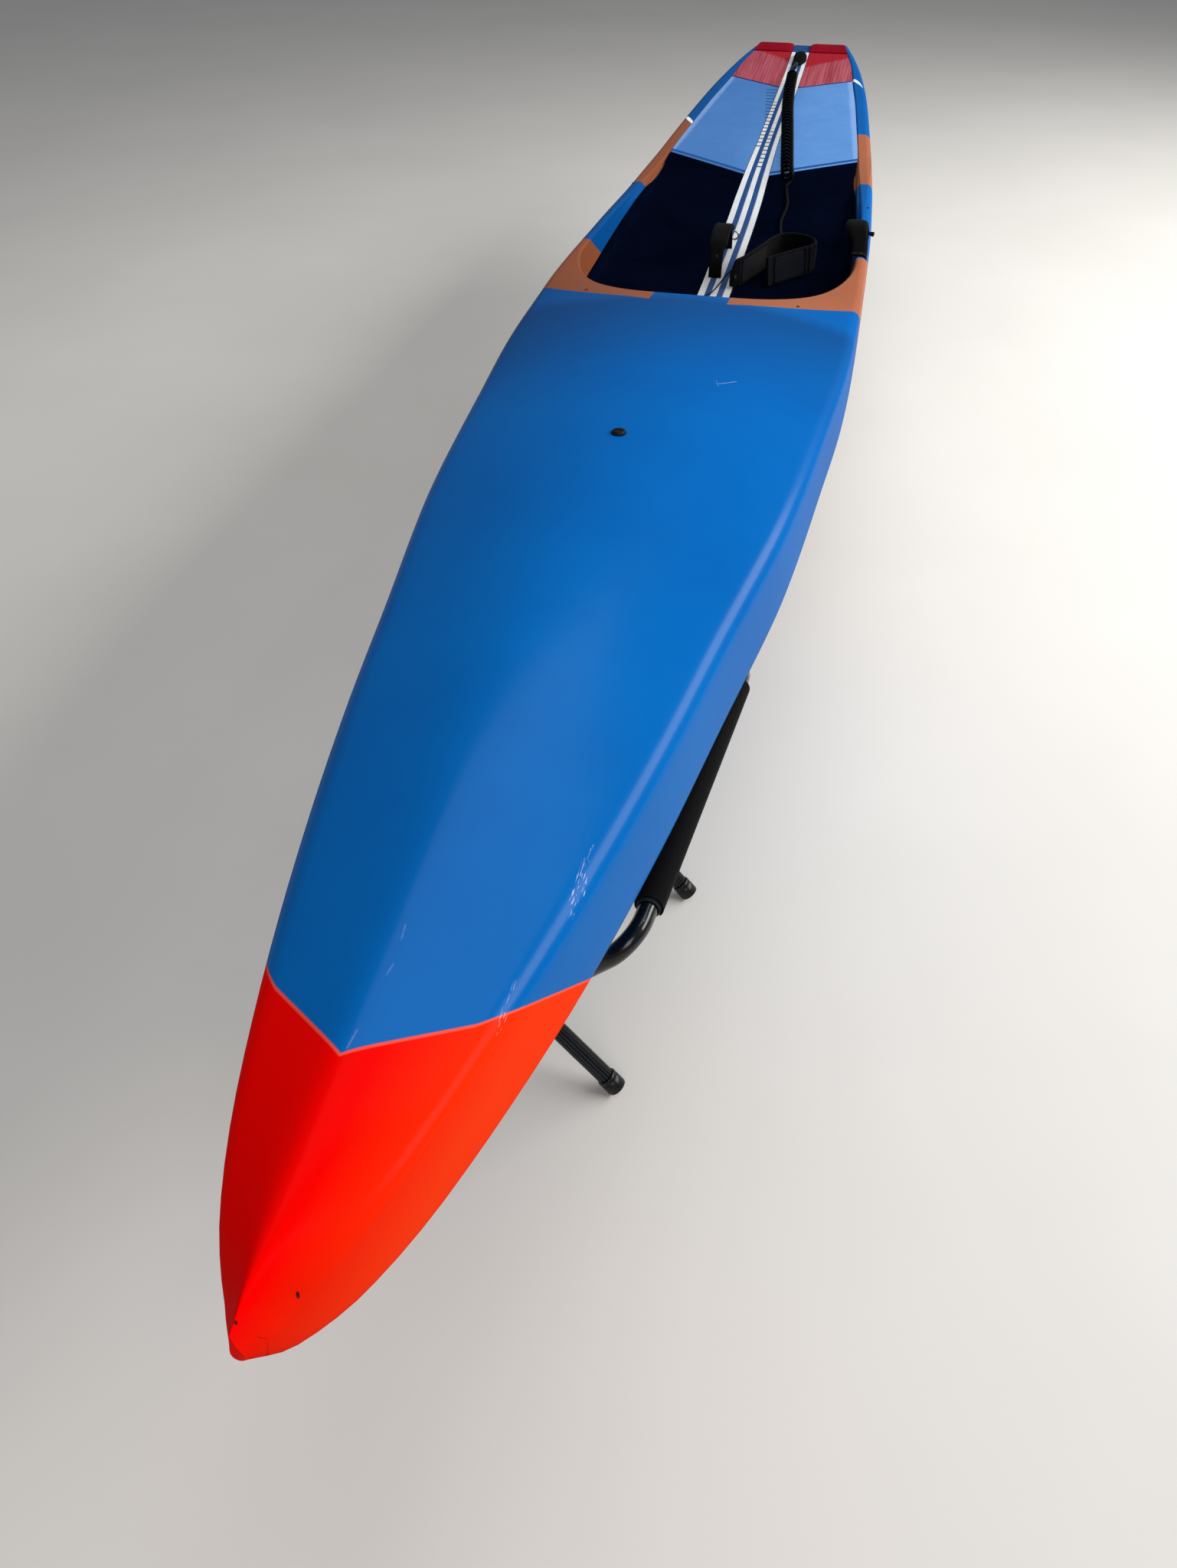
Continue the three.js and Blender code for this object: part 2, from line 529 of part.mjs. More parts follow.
const cuff = new THREE.ExtrudeGeometry(bandOutline(CUFF_ROUTE, CUFF.wall, 30), { depth: CUFF.height, bevelEnabled: false });
cuff.rotateY(-cuffTilt).translate(cuffBase.x, cuffBase.y, cuffBase.z + 1);
add('leash_cuff', cuff, 'grey');

// Folding stands. Each has a wide and a narrow U-shaped frame that cross on one pivot rod,
// foam on the top bars and a sling between them.
const STAND = {
  barHeight: 417, // centre of the padded bars above the floor
  barHalf: 208, // padded bars, from the stand's middle
  footHalf: 174, // feet, from the stand's middle
  wide: 284, // half the spacing of the wide frame's legs
  narrow: 196, // half the spacing of the narrow frame's legs
  bend: 43, // radius of the tube's bends
  padEnd: 59, // from a leg's centre line to the end of the foam on its bar
  tube: 12,
  leg: 12.5,
  foot: 14.5,
  foam: 15.5,
  joint: 0.33, // where the fluted leg begins, as a share of the way from bar to foot
};
const STANDS = [
  { name: 'front', s: 876, y: -15, turn: -5.9 },
  { name: 'rear', s: 3020, y: 0, turn: 0 },
];
const pivotHeight = (STAND.barHeight * STAND.footHalf) / (STAND.barHalf + STAND.footHalf);

// A point on a frame's leg: t is 0 at the bar and 1 at the floor, side 1 has its bar to port
const legPoint = (u, side, t) => new THREE.Vector3(
  u, side * (STAND.barHalf - (STAND.barHalf + STAND.footHalf) * t), STAND.barHeight * (1 - t));

function frameCurve(half, side) {
  const path = new THREE.CurvePath();
  const legLength = legPoint(0, side, 1).distanceTo(legPoint(0, side, 0));
  const bendShare = STAND.bend / legLength;
  const handleShare = bendShare * (1 - 0.5523); // a cubic curve's closest fit to a quarter circle
  const corner = (sign) => {
    const points = [legPoint(sign * half, side, bendShare), legPoint(sign * half, side, handleShare),
      legPoint(sign * (half - STAND.bend * (1 - 0.5523)), side, 0), legPoint(sign * (half - STAND.bend), side, 0)];
    return new THREE.CubicBezierCurve3(...(sign < 0 ? points : points.reverse()));
  };
  path.add(new THREE.LineCurve3(legPoint(-half, side, STAND.joint), legPoint(-half, side, bendShare)));
  path.add(corner(-1));
  path.add(new THREE.LineCurve3(legPoint(-(half - STAND.bend), side, 0), legPoint(half - STAND.bend, side, 0)));
  path.add(corner(1));
  path.add(new THREE.LineCurve3(legPoint(half, side, bendShare), legPoint(half, side, STAND.joint)));
  return path;
}

// A prism along a leg, whose foot end is level when level is true
function legPrism(u, side, from, to, outline, level = false) {
  const direction = legPoint(u, side, 1).sub(legPoint(u, side, 0)).normalize();
  const across = new THREE.Vector3(1, 0, 0);
  const outer = direction.clone().cross(across);
  const ring = (t) => outline.map(([a, b]) => legPoint(u, side, t).addScaledVector(across, a).addScaledVector(outer, b));
  const top = ring(from);
  const bottom = ring(to);
  if (level) {
    for (const p of bottom) p.addScaledVector(direction, -p.z / direction.z);
  }
  return loft([top, bottom]);
}

const ringOutline = (radius, sides, flute = 0) => Array.from({ length: sides }, (_, i) => {
  const a = (2 * Math.PI * i) / sides;
  const r = i % 2 ? radius - flute : radius;
  return [r * Math.cos(a), r * Math.sin(a)];
});

function addFrame(group, name, half, side) {
  add(`${name}_tube`, tube(frameCurve(half, side), STAND.tube, 30, 12), 'tube', group);
  const bar = half - STAND.padEnd;
  add(`${name}_foam`, sleeve(legPoint(-bar, side, 0), legPoint(bar, side, 0), STAND.tube + GAP, STAND.foam), 'foam', group);
  const share = 1 / (legPoint(0, side, 1).distanceTo(legPoint(0, side, 0)));
  for (const [end, sign] of [['front', 1], ['rear', -1]]) {
    const capLength = 34 * share;
    const leg = legPrism(sign * half, side, STAND.joint + GAP * share, 1 - capLength - GAP * share,
      ringOutline(STAND.leg, 16, 1.3));
    const hole = rod(new THREE.Vector3(sign * half - 30, 0, pivotHeight), new THREE.Vector3(sign * half + 30, 0, pivotHeight), 5.4, 12);
    add(`${name}_leg_${end}`, cut(leg, hole), 'fluted', group);
    add(`${name}_foot_${end}`, legPrism(sign * half, side, 1 - capLength, 1, ringOutline(STAND.foot, 16), true), 'black', group);
  }
}

function addSling(group, name, place) {
  const reach = STAND.barHalf - (STAND.foam + 2.3) * Math.SQRT1_2;
  const endHeight = STAND.barHeight + (STAND.foam + 2.3) * Math.SQRT1_2;
  const turn = THREE.MathUtils.degToRad(place.turn);
  const under = (u, v) => {
    const across = reach * (1 - 2 * u);
    const portShare = 1 - u;
    const frontEdge = THREE.MathUtils.lerp(STAND.narrow, STAND.wide, portShare) - STAND.padEnd - 3;
    const along = frontEdge * (1 - 2 * v);
    const x = along * Math.cos(turn) - across * Math.sin(turn);
    const y = place.y + along * Math.sin(turn) + across * Math.cos(turn);
    const keel = RIM + hullBottom(place.s - x, 0) - GAP;
    const taut = keel + (endHeight - keel) * Math.abs(1 - 2 * u) ** 1.3;
    const bottom = RIM + hullBottom(place.s - x, y) - GAP;
    return new THREE.Vector3(along, across, Math.min(taut, bottom) - 3);
  };
  add(`${name}_sling`, slab(16, 4, under, 3), 'webbing', group);
}

for (const place of STANDS) {
  const group = new THREE.Group();
  group.position.set(LENGTH / 2 - place.s, place.y, 0);
  group.rotation.z = THREE.MathUtils.degToRad(place.turn);
  addFrame(group, `${place.name}_stand_wide`, STAND.wide, 1);
  addFrame(group, `${place.name}_stand_narrow`, STAND.narrow, -1);
  const pivotEnd = STAND.wide + 22;
  const pivot = [-pivotEnd, pivotEnd].map((u) => new THREE.Vector3(u, 0, pivotHeight));
  add(`${place.name}_stand_pivot`, rod(...pivot, 5, 12), 'steel', group);
  addSling(group, `${place.name}_stand`, place);
  board.add(group);
}

export default board;
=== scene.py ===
# %% [markdown]
# # A race paddleboard on its two folding stands
#
# The board is a thin painted shell over light foam, with a sunken tray to stand in, foam grip
# pads in that tray, a coiled leash and two folding stands. This lesson dresses a fixed model of
# it. First the model is loaded. Its solids say where every piece goes, so nothing here moves them.

# %% Load the fixed model
import math

import bmesh
import bpy
import numpy as np
from mathutils import Matrix, Vector


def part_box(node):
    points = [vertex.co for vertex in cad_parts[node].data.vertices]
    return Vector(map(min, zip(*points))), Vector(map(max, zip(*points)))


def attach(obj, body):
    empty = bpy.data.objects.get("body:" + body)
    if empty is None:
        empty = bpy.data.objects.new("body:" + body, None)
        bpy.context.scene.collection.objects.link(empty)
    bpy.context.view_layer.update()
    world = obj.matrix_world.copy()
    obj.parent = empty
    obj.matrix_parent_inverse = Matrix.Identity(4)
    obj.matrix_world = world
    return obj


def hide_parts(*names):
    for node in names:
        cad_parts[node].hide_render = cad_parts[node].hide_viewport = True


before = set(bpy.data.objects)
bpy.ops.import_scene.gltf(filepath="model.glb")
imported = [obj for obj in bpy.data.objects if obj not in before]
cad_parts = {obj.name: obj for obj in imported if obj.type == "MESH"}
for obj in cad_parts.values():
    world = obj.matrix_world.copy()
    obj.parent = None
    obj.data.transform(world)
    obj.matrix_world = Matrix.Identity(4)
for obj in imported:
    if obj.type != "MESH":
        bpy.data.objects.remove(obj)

AHEAD, PORT, UP = Vector((1, 0, 0)), Vector((0, 1, 0)), Vector((0, 0, 1))
SIDES = (("port", 1), ("starboard", -1))
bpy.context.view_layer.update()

# %% [markdown]
# ## Measures shared with the solids
#
# A hull could be sculpted freely, but then its pads and strap would have to be fitted to it by eye.
# Here the shape comes from a table of stations, as on a boat builder's plan: s is the distance from
# the nose, and all heights are measured from the tray's rim. Everything that sits on the
# board reads the same table. The table is in millimetres, and the function at() turns it into metres.
# TICK is the spacing of the ruler on the strip, and CLEAR the gap left where one piece sits in
# another, and between a sling and the hull.

# %% The plan's tables
LENGTH = 4267
RIM = 620
SHOULDER_R = 24
FLARE = 1
FULLNESS = 2.5
RIM_WIDTH = 26
LIP, LIP_LENGTH = 1904, 400
WALL_SLOPE = 8
STRIP_HALF = 34
STRIP_FROM, STRIP_TO = 1946, 4251.5
STRIP_TAPER = (2850, 3250)
PAD, PAD_LIFT, PAD_GAP = 5, 1, 0.5
TICK = 31.75
CLEAR = 0.4
HULL = [
    # s, half, keel, rail, edge, crown
    [0, 5, -22, -13, -2, 14],
    [30, 26, -66, -39, 4, 24],
    [90, 55, -100, -60, 10, 33],
    [205, 90, -136, -77, 18, 44],
    [420, 141, -165, -90, 21, 54],
    [660, 184, -182, -97, 20, 62],
    [860, 213, -191, -101, 19, 66],
    [1200, 262, -200, -104, 15, 70],
    [1500, 287, -204, -102, 13, 71],
    [1800, 307, -204, -99, 12, 60],
    [1960, 310, -204, -97, 10, 40],
    [2150, 311, -204, -95, 6, 6],
    [2500, 309, -202, -94, -7, -7],
    [2850, 300, -198, -92, -16, -16],
    [3100, 288, -191, -88, -12, -12],
    [3400, 267, -172, -78, 5, 5],
    [3750, 239, -135, -50, 24, 24],
    [4000, 209, -95, -20, 39, 39],
    [4150, 180, -62, 0, 53, 53],
    [4267, 152, -28, 15, 63, 63],
]
TRAY = [
    # s, floor
    [1905, -82], [2271, -80], [2471, -72], [2695, -61], [2848, -46], [2994, -29],
    [3262, -9], [3592, 9], [3925, 27], [4197, 51], [4320, 61],
]


def column(rows, k):
    """A smooth curve through one column of a table, with no overshoot between its rows."""
    x = [row[0] for row in rows]
    y = [row[k] for row in rows]
    slope = [(y[i + 1] - y[i]) / (x[i + 1] - x[i]) for i in range(len(x) - 1)]
    tangent = [0 if a * b <= 0 else 2 * a * b / (a + b) for a, b in zip(slope, slope[1:])]
    tangent = [slope[0], *tangent, slope[-1]]

    def value(s):
        s = min(max(s, x[0]), x[-1])
        i = min(sum(1 for a in x[1:-1] if s > a), len(x) - 2)
        h = x[i + 1] - x[i]
        t = (s - x[i]) / h
        rise = (3 - 2 * t) * t * t
        start = (t - 1) * (t - 1) * t * h * tangent[i]
        end = (t - 1) * t * t * h * tangent[i + 1]
        return y[i] + rise * (y[i + 1] - y[i]) + start + end

    return value


half, keel, rail, edge, crown = (column(HULL, k) for k in range(1, 6))
tray_floor = column(TRAY, 1)


def at(s, y, z):
    """A point in metres from its distance from the nose, its side and its height from the rim."""
    return Vector((LENGTH / 2 - s, y, RIM + z)) / 1000


def share_of(value, low, high):
    """How far a value is on its way from low to high, from 0 to 1."""
    return min(max((value - low) / (high - low), 0), 1)


def smoothstep(value, low, high):
    t = share_of(value, low, high)
    return t * t * (3 - 2 * t)


def blend(a, b, t):
    return a + (b - a) * t


def pad_top(s):
    return tray_floor(s) + PAD_LIFT + PAD


def rim_width(s):
    """The rim is a narrow wall round the deep tray, a broader band behind it, and narrow at the tail."""
    return RIM_WIDTH + 11 * smoothstep(s, 2600, 3100) - 15 * smoothstep(s, 3800, 4240)


def strip_half(s):
    """The centre strip gets a fifth narrower where the light-blue pads begin."""
    return STRIP_HALF * (1 - 0.19 * share_of(s, *STRIP_TAPER))


print("beam", 2 * half(2150), "mm; tray depth at s 2300:", round(edge(2300) - tray_floor(2300), 1), "mm")

# %% [markdown]
# ## Camera
#
# The photograph was taken from above the nose, looking down and slightly to starboard. The camera
# was fitted to the board's outline, so its place and its lens are plain numbers here. It comes
# before the pieces, because the leash has to lie where this camera sees it.

# %% Camera
yaw, pitch, roll = (math.radians(a) for a in (12.779, 41.384, 0.07))
forward = Vector((-math.cos(pitch) * math.cos(yaw), -math.cos(pitch) * math.sin(yaw), -math.sin(pitch)))
level = Vector((-math.sin(yaw), math.cos(yaw), 0))
down = forward.cross(level)
right = level * math.cos(roll) + down * math.sin(roll)
up = level * math.sin(roll) - down * math.cos(roll)
lens = bpy.data.cameras.new("view")
lens.lens = 27.04
lens.clip_end = 100
camera = bpy.data.objects.new("view", lens)
camera.matrix_world = Matrix((right, up, -forward)).transposed().to_4x4()
camera.location = (2.4124, 0.3054, 1.4159)
bpy.context.scene.collection.objects.link(camera)
bpy.context.scene.camera = camera
print("camera at", tuple(camera.location), "lens", lens.lens)

# %% [markdown]
# ## Building blocks for meshes
#
# Most pieces here are skins over rows of points: a hull is a row of sections, a tube is a row of
# rings, a pad is a grid. One function turns such rows into a closed mesh, merges points that
# fall together and turns all faces outwards. Modifiers add soft edges where a real edge is soft.

# %% Skins and slabs
def mesh_from(name, points, faces):
    """A mesh with merged points, outward faces and smooth shading up to 40 degrees."""
    mesh = bpy.data.meshes.new(name)
    shape = bmesh.new()
    made = [shape.verts.new(p) for p in points]
    for face in faces:
        corners = [made[i] for i in face]
        if len(set(corners)) > 2:
            shape.faces.new(corners)
    bmesh.ops.remove_doubles(shape, verts=shape.verts, dist=2e-6)
    bmesh.ops.dissolve_degenerate(shape, dist=1e-6, edges=shape.edges)
    loose = [v for v in shape.verts if not v.link_faces]
    bmesh.ops.delete(shape, geom=loose, context="VERTS")
    bmesh.ops.recalc_face_normals(shape, faces=shape.faces)
    shape.to_mesh(mesh)
    shape.free()
    mesh.shade_smooth()
    mesh.set_sharp_from_angle(angle=math.radians(40))
    return mesh


def skin(name, rows, loop=False):
    """A closed mesh through rings of equally many points; loop joins the last ring to the first."""
    n, count = len(rows[0]), len(rows)
    points = [p for row in rows for p in row]
    faces = []
    for i in range(count if loop else count - 1):
        k = (i + 1) % count
        for j in range(n):
            m = (j + 1) % n
            faces.append((i * n + j, i * n + m, k * n + m, k * n + j))
    if not loop:
        faces += [tuple(range(n)), tuple(range((count - 1) * n, count * n))]
    return mesh_from(name, points, faces)


def slab(name, under, over):
    """A closed thin body between two grids of points."""
    nu, nv = len(under), len(under[0])
    points = [p for grid in (under, over) for row in grid for p in row]
    flat = nu * nv
    faces = []
    for i in range(nu - 1):
        for j in range(nv - 1):
            a = i * nv + j
            faces.append((a, a + 1, a + nv + 1, a + nv))
            faces.append((a + flat, a + flat + nv, a + flat + nv + 1, a + flat + 1))
    rim = list(range(nv)) + [i * nv + nv - 1 for i in range(1, nu)]
    rim += [(nu - 1) * nv + j for j in range(nv - 2, -1, -1)] + [i * nv for i in range(nu - 2, 0, -1)]
    for a, b in zip(rim, rim[1:] + rim[:1]):
        faces.append((a, b, b + flat, a + flat))
    return mesh_from(name, points, faces)


def grid_of(point, rows, columns, low=-1):
    """Rows of points: point(u, v) with u from 0 to 1 along the body and v from low to 1 across it."""
    return [[point(u, v) for v in np.linspace(low, 1, columns)] for u in np.linspace(0, 1, rows)]


def box_mesh(name, low, high):
    """A plain box between two corners."""
    corners = ((low.x, low.y), (high.x, low.y), (high.x, high.y), (low.x, high.y))
    return skin(name, [[Vector((x, y, z)) for x, y in corners] for z in (low.z, high.z)])


# %% Lines, lathes and sweeps
def heading(line, i):
    """The direction of a line of points at its point i."""
    return (line[min(i + 1, len(line) - 1)] - line[max(i - 1, 0)]).normalized()


def path_length(line):
    return sum((b - a).length for a, b in zip(line, line[1:]))


def bezier(a, b, c, d, count):
    """Points on a cubic curve from a to d that leaves towards b and arrives from c."""
    return [a * (1 - t) ** 3 + b * (3 * t * (1 - t) ** 2) + c * (3 * t * t * (1 - t)) + d * t ** 3
            for t in np.linspace(0, 1, count)]


def through(points, count):
    """Points evenly spread on a smooth curve through given points."""
    points = [points[0] * 2 - points[1], *points, points[-1] * 2 - points[-2]]
    fine = []
    for a, b, c, d in zip(points, points[1:], points[2:], points[3:]):
        for t in np.linspace(0, 1, 24, endpoint=False):
            square = (a * 2 - b * 5 + c * 4 - d) * t ** 2
            cube = (b * 3 - a - c * 3 + d) * t ** 3
            fine.append((b * 2 + (c - a) * t + square + cube) * 0.5)
    fine.append(points[-2])
    gone = np.concatenate([[0], np.cumsum([(q - p).length for p, q in zip(fine, fine[1:])])])
    places = np.interp(np.linspace(0, gone[-1], count), gone, range(len(fine)))
    return [fine[int(i)].lerp(fine[min(int(i) + 1, len(fine) - 1)], i % 1) for i in places]


def ring(centre, across, above, radius, sides):
    """Points round a centre; radius is a number or a function of the angle."""
    points = []
    for k in range(sides):
        a = 2 * math.pi * k / sides
        r = radius(a) if callable(radius) else radius
        points.append(centre + across * (r * math.cos(a)) + above * (r * math.sin(a)))
    return points


def lathe(name, profile, base, axis, sides=32):
    """A turned body: profile holds (radius, height) pairs in millimetres, along axis from base."""
    axis = axis.normalized()
    across = axis.orthogonal().normalized()
    above = axis.cross(across)
    return skin(name, [ring(base + axis * (h / 1000), across, above, r / 1000, sides) for r, h in profile])


def sweep(name, line, radius, sides=20):
    """A round tube along a line; radius is in millimetres, one number or one for each point."""
    radii = radius if hasattr(radius, "__len__") else [radius] * len(line)
    across = (line[1] - line[0]).orthogonal().normalized()
    rows = []
    for i, p in enumerate(line):
        along = heading(line, i)
        across = (across - along * across.dot(along)).normalized()
        rows.append(ring(p, across, along.cross(across), radii[i] / 1000, sides))
    return skin(name, rows)


# %% Pieces and cuts
def piece(name, mesh, finish, stands_for=(), bevel=0.0):
    """Puts a mesh in the scene as a piece that rides on the model and may stand for some solids."""
    obj = bpy.data.objects.new(name, mesh)
    bpy.context.scene.collection.objects.link(obj)
    mesh.materials.clear()
    if finish:
        mesh.materials.append(finish)
    if bevel:
        soft = obj.modifiers.new("soft_edge", "BEVEL")
        soft.width = bevel
        soft.segments = 3
        soft.limit_method = "ANGLE"
        soft.angle_limit = math.radians(45)
    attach(obj, "root")
    if stands_for:
        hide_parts(*stands_for)
    return obj


def turned(name, profile, base, axis, finish, stands_for=(), sides=32):
    """A lathe's body as a piece of its own."""
    return piece(name, lathe(name, profile, base, axis, sides), finish, stands_for)


def carve(obj, cutters):
    """Cuts closed meshes out of an object's own mesh, and removes the cutters."""
    tools = []
    for mesh in cutters:
        tool = bpy.data.objects.new("cutter", mesh)
        bpy.context.scene.collection.objects.link(tool)
        cut = obj.modifiers.new("cut", "BOOLEAN")
        cut.operation = "DIFFERENCE"
        cut.solver = "EXACT"
        cut.object = tool
        tools.append(tool)
    bpy.context.view_layer.update()
    evaluated = obj.evaluated_get(bpy.context.evaluated_depsgraph_get())
    mesh = bpy.data.meshes.new_from_object(evaluated)
    obj.modifiers.clear()
    obj.data = mesh
    for tool in tools:
        bpy.data.objects.remove(tool)
    mesh.set_sharp_from_angle(angle=math.radians(40))


def under_middle(node):
    """The middle of the underside of a solid's box."""
    low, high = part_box(node)
    return Vector(((low.x + high.x) / 2, (low.y + high.y) / 2, low.z))


# %% [markdown]
# ## The leash
#
# A coiled leash is one urethane cord. It leaves the swivel at the tail, is wound into a springy
# coil for most of its way, and ends in a plain lead to the ankle cuff. It could be a fat
# textured tube, but the gaps between the turns catch the light, so the real line of the
# cord is drawn: straight, then a helix that starts and ends softly, then straight again.

# %% The cord's line
CORD_R, COIL_R, TURNS, LEASH_LIFT = 3.5, 17, 35, 0.6
# Each row is a distance from the nose and a side, and the tail's rows end with a lift over the pads.
# The ends are where the line passes from one part of the cord to the next.
TAIL_ENDS, COIL_ENDS, LEAD_ENDS = (3975.9, 3887), (3884, 2930), (2926, 2497.6)
TAIL_ROUTE = [(3885.6, 2.8, 4.1), (3905, 2.1, 4.1), (3930, 1.2, 4.6), (3955, 0.5, 6.2), (3975.9, 0, 7.6)]
COIL_ROUTE = [(2930, 84.7), (2980, 79), (3050, 71), (3120, 64), (3200, 56), (3300, 46), (3400, 36),
              (3500, 26), (3625, 16), (3740, 9), (3850, 4), (3884, 2.8)]
LEAD_ROUTE = [(2497.6, 133.5), (2508, 131.5), (2525, 128), (2560, 120), (2600, 112), (2640, 104),
              (2680, 98), (2725, 95), (2770, 97), (2810, 99), (2850, 96), (2890, 90), (2918, 86.2),
              (2929.5, 84.8)]


def leash_line():
    """The cord's points: its tail, its coil with the turns tight in the middle, and its lead."""
    tail_side, tail_lift = column(TAIL_ROUTE, 1), column(TAIL_ROUTE, 2)
    points = [at(s, tail_side(s), pad_top(s) + tail_lift(s)) for s in np.linspace(*TAIL_ENDS, 16)]
    coil_side = column(COIL_ROUTE, 1)
    share = np.linspace(0, 1, TURNS * 16 + 1)
    soft = 1.5 / TURNS
    pace = np.array([smoothstep(t, 0, soft) * smoothstep(1 - t, 0, soft) for t in share])
    angle = np.concatenate([[0], np.cumsum((pace[1:] + pace[:-1]) / 2)])
    angle = angle / angle[-1] * 2 * math.pi * round(TURNS * pace.mean())
    lift = COIL_R + LEASH_LIFT
    axis = [at(s, coil_side(s), pad_top(s) + lift) for s in blend(*COIL_ENDS, share)]
    reach = (COIL_R - CORD_R) / 1000
    for i, turn in enumerate(angle):
        along = heading(axis, i)
        above = (UP - along * along.z).normalized()
        side = along.cross(above)
        points.append(axis[i] - above * (reach * math.cos(turn)) + side * (reach * math.sin(turn)))
    lead_side = column(LEAD_ROUTE, 1)
    points += [at(s, lead_side(s), pad_top(s) + CORD_R + LEASH_LIFT) for s in np.linspace(*LEAD_ENDS, 60)]
    return points


cord_line = leash_line()
cord_length = path_length(cord_line)
leash_cord = piece("leash_cord", sweep("leash_cord", cord_line, CORD_R, 12), None,
                   ["leash_tail", "leash_coil", "leash_lead"])
print("leash cord:", round(cord_length, 3), "m in", len(cord_line), "points")

# %% [markdown]
# ## Building blocks for finishes
#
# A finish is a small web of shader nodes. Wiring nodes by hand hides the sum behind the boxes, so
# a small class wraps one output socket and lets it be added, multiplied and compared like a
# number: 1 - mask * 2 then lays down its own Math nodes. Colours are mixed with Mix nodes.

# %% Wires between nodes
def paint(code):
    """A colour code of six hexadecimal digits as the linear light that shaders use."""
    parts = [int(code[i:i + 2], 16) / 255 for i in (0, 2, 4)]
    return (*[p / 12.92 if p <= 0.04045 else ((p + 0.055) / 1.055) ** 2.4 for p in parts], 1.0)


class Wire:
    """One output of a shader node, which can be used in sums."""

    def __init__(self, tree, socket):
        self.tree = tree
        self.socket = socket

    def node(self, kind, inputs, output=0, **settings):
        """Any node: its sockets get wires, numbers or colour codes, and its settings come by name."""
        made = self.tree.nodes.new(kind)
        for key, value in settings.items():
            setattr(made, key, value)
        for key, value in inputs.items():
            if isinstance(value, Wire):
                self.tree.links.new(value.socket, made.inputs[key])
            else:
                made.inputs[key].default_value = paint(value) if isinstance(value, str) else value
        return Wire(self.tree, made.outputs[output])

    def math(self, operation, other=0.0, swap=False, clamp=False):
        a, b = (other, self) if swap else (self, other)
        return self.node("ShaderNodeMath", {0: a, 1: b}, operation=operation, use_clamp=clamp)

    def __add__(self, other):
        return self.math("ADD", other)

    __radd__ = __add__

    def __sub__(self, other):
        return self.math("SUBTRACT", other)

    def __rsub__(self, other):
        return self.math("SUBTRACT", other, swap=True)

    def __mul__(self, other):
        return self.math("MULTIPLY", other)

    def __truediv__(self, other):
        return self.math("DIVIDE", other)

    def __abs__(self):
        return self.math("ABSOLUTE")

    def most(self, other):
        return self.math("MAXIMUM", other)

    def clamped(self):
        """The same value, held between 0 and 1."""
        return self.math("ADD", 0.0, clamp=True)

    def ramp(self, start, end):
        """Rises evenly from 0 at the start to 1 at the end."""
        return ((self - start) / (end - start)).clamped()

    def over(self, limit, soft):
        """A mask: 0 under the limit, 1 over it, soft wide in between."""
        return ((self - limit) / soft + 0.5).clamped()

    def under(self, limit, soft):
        """The opposite mask: 1 under the limit and 0 over it."""
        return ((limit - self) / soft + 0.5).clamped()

    def stripes(self, period, share=0.5, soft=0.1):
        """A mask of stripes along this value: period long each, with the given share of it filled."""
        phase = (self / period).math("FRACT")
        return (abs(phase - 0.5) * 2).under(share, soft)

    def mix(self, a, b):
        """A colour between a and b, with this wire as the factor, which the node holds within 0 and 1."""
        return self.node("ShaderNodeMix", {0: self, 6: a, 7: b}, output=2, data_type="RGBA")

    def noise(self, scale, detail=3.0, roughness=0.55):
        """Noise at these coordinates, about 0.5 on average."""
        return self.node("ShaderNodeTexNoise",
                         {"Vector": self, "Scale": scale, "Detail": detail, "Roughness": roughness})

    def stretched(self, x, y, z):
        """The coordinates scaled along each axis, which draws noise out into streaks."""
        return self.node("ShaderNodeMapping", {"Vector": self, "Scale": (x, y, z)})


def layered(colour, *coats):
    """A colour under coats of others: each coat is a mask and a colour."""
    for mask, coat in coats:
        colour = mask.mix(colour, coat)
    return colour


class Finish:
    """A material in the making: its shader, each point's place in millimetres, and constant sockets."""

    def __init__(self, name, **constants):
        self.material = bpy.data.materials.new(name)
        self.material.use_nodes = True
        self.tree = self.material.node_tree
        self.shader = next(n for n in self.tree.nodes if n.type == "BSDF_PRINCIPLED")
        for key, value in constants.items():
            self.shader.inputs[key.replace("_", " ")].default_value = value
        place = self.tree.nodes.new("ShaderNodeTexCoord")
        self.place = Wire(self.tree, place.outputs["Object"])
        split = self.place.node("ShaderNodeSeparateXYZ", {"Vector": self.place}).socket.node
        x, y, z = (Wire(self.tree, split.outputs[k]) * 1000 for k in range(3))
        self.s, self.y, self.z = LENGTH / 2 - x, y, z - RIM

    def set(self, **wires):
        for key, wire in wires.items():
            self.tree.links.new(wire.socket, self.shader.inputs[key.replace("_", " ")])
        return self

    def bump(self, height, distance):
        """Relief from a height wire; distance is how many metres a height of 1 stands for."""
        made = height.node("ShaderNodeBump", {"Distance": distance, "Height": height})
        return self.set(Normal=made)


print("wires ready; blue paint is", [round(v, 3) for v in paint("1268b8")])

# %% [markdown]
# ## The shell's paint
#
# The real shell is sprayed in colour blocks under one clear gloss coat: a red nose with a thin pale
# edge that meets the blue in an arrow shape, copper blocks around the tray's front and on the rims,
# and a short white stroke across each rim. An image could hold this, but then it would need an
# unwrapped mesh. Each block is a plain sum of the distance from the nose, the side and the height
# instead, so it stays sharp at any size. Fine noise in the colour and the roughness keeps the gloss
# from looking like toy plastic.

# %% Masks of the paint
PAINT_EDGE = 1.5


def nose_block(f):
    """The red nose, which ends in an arrow shape, and the pale line along its edge."""
    arrow = 207 + abs(f.y) * 0.76 + (20 - f.z).most(0.0) * 0.98 - f.s
    nose = arrow.over(0, PAINT_EDGE)
    return nose, nose * arrow.under(3, PAINT_EDGE)


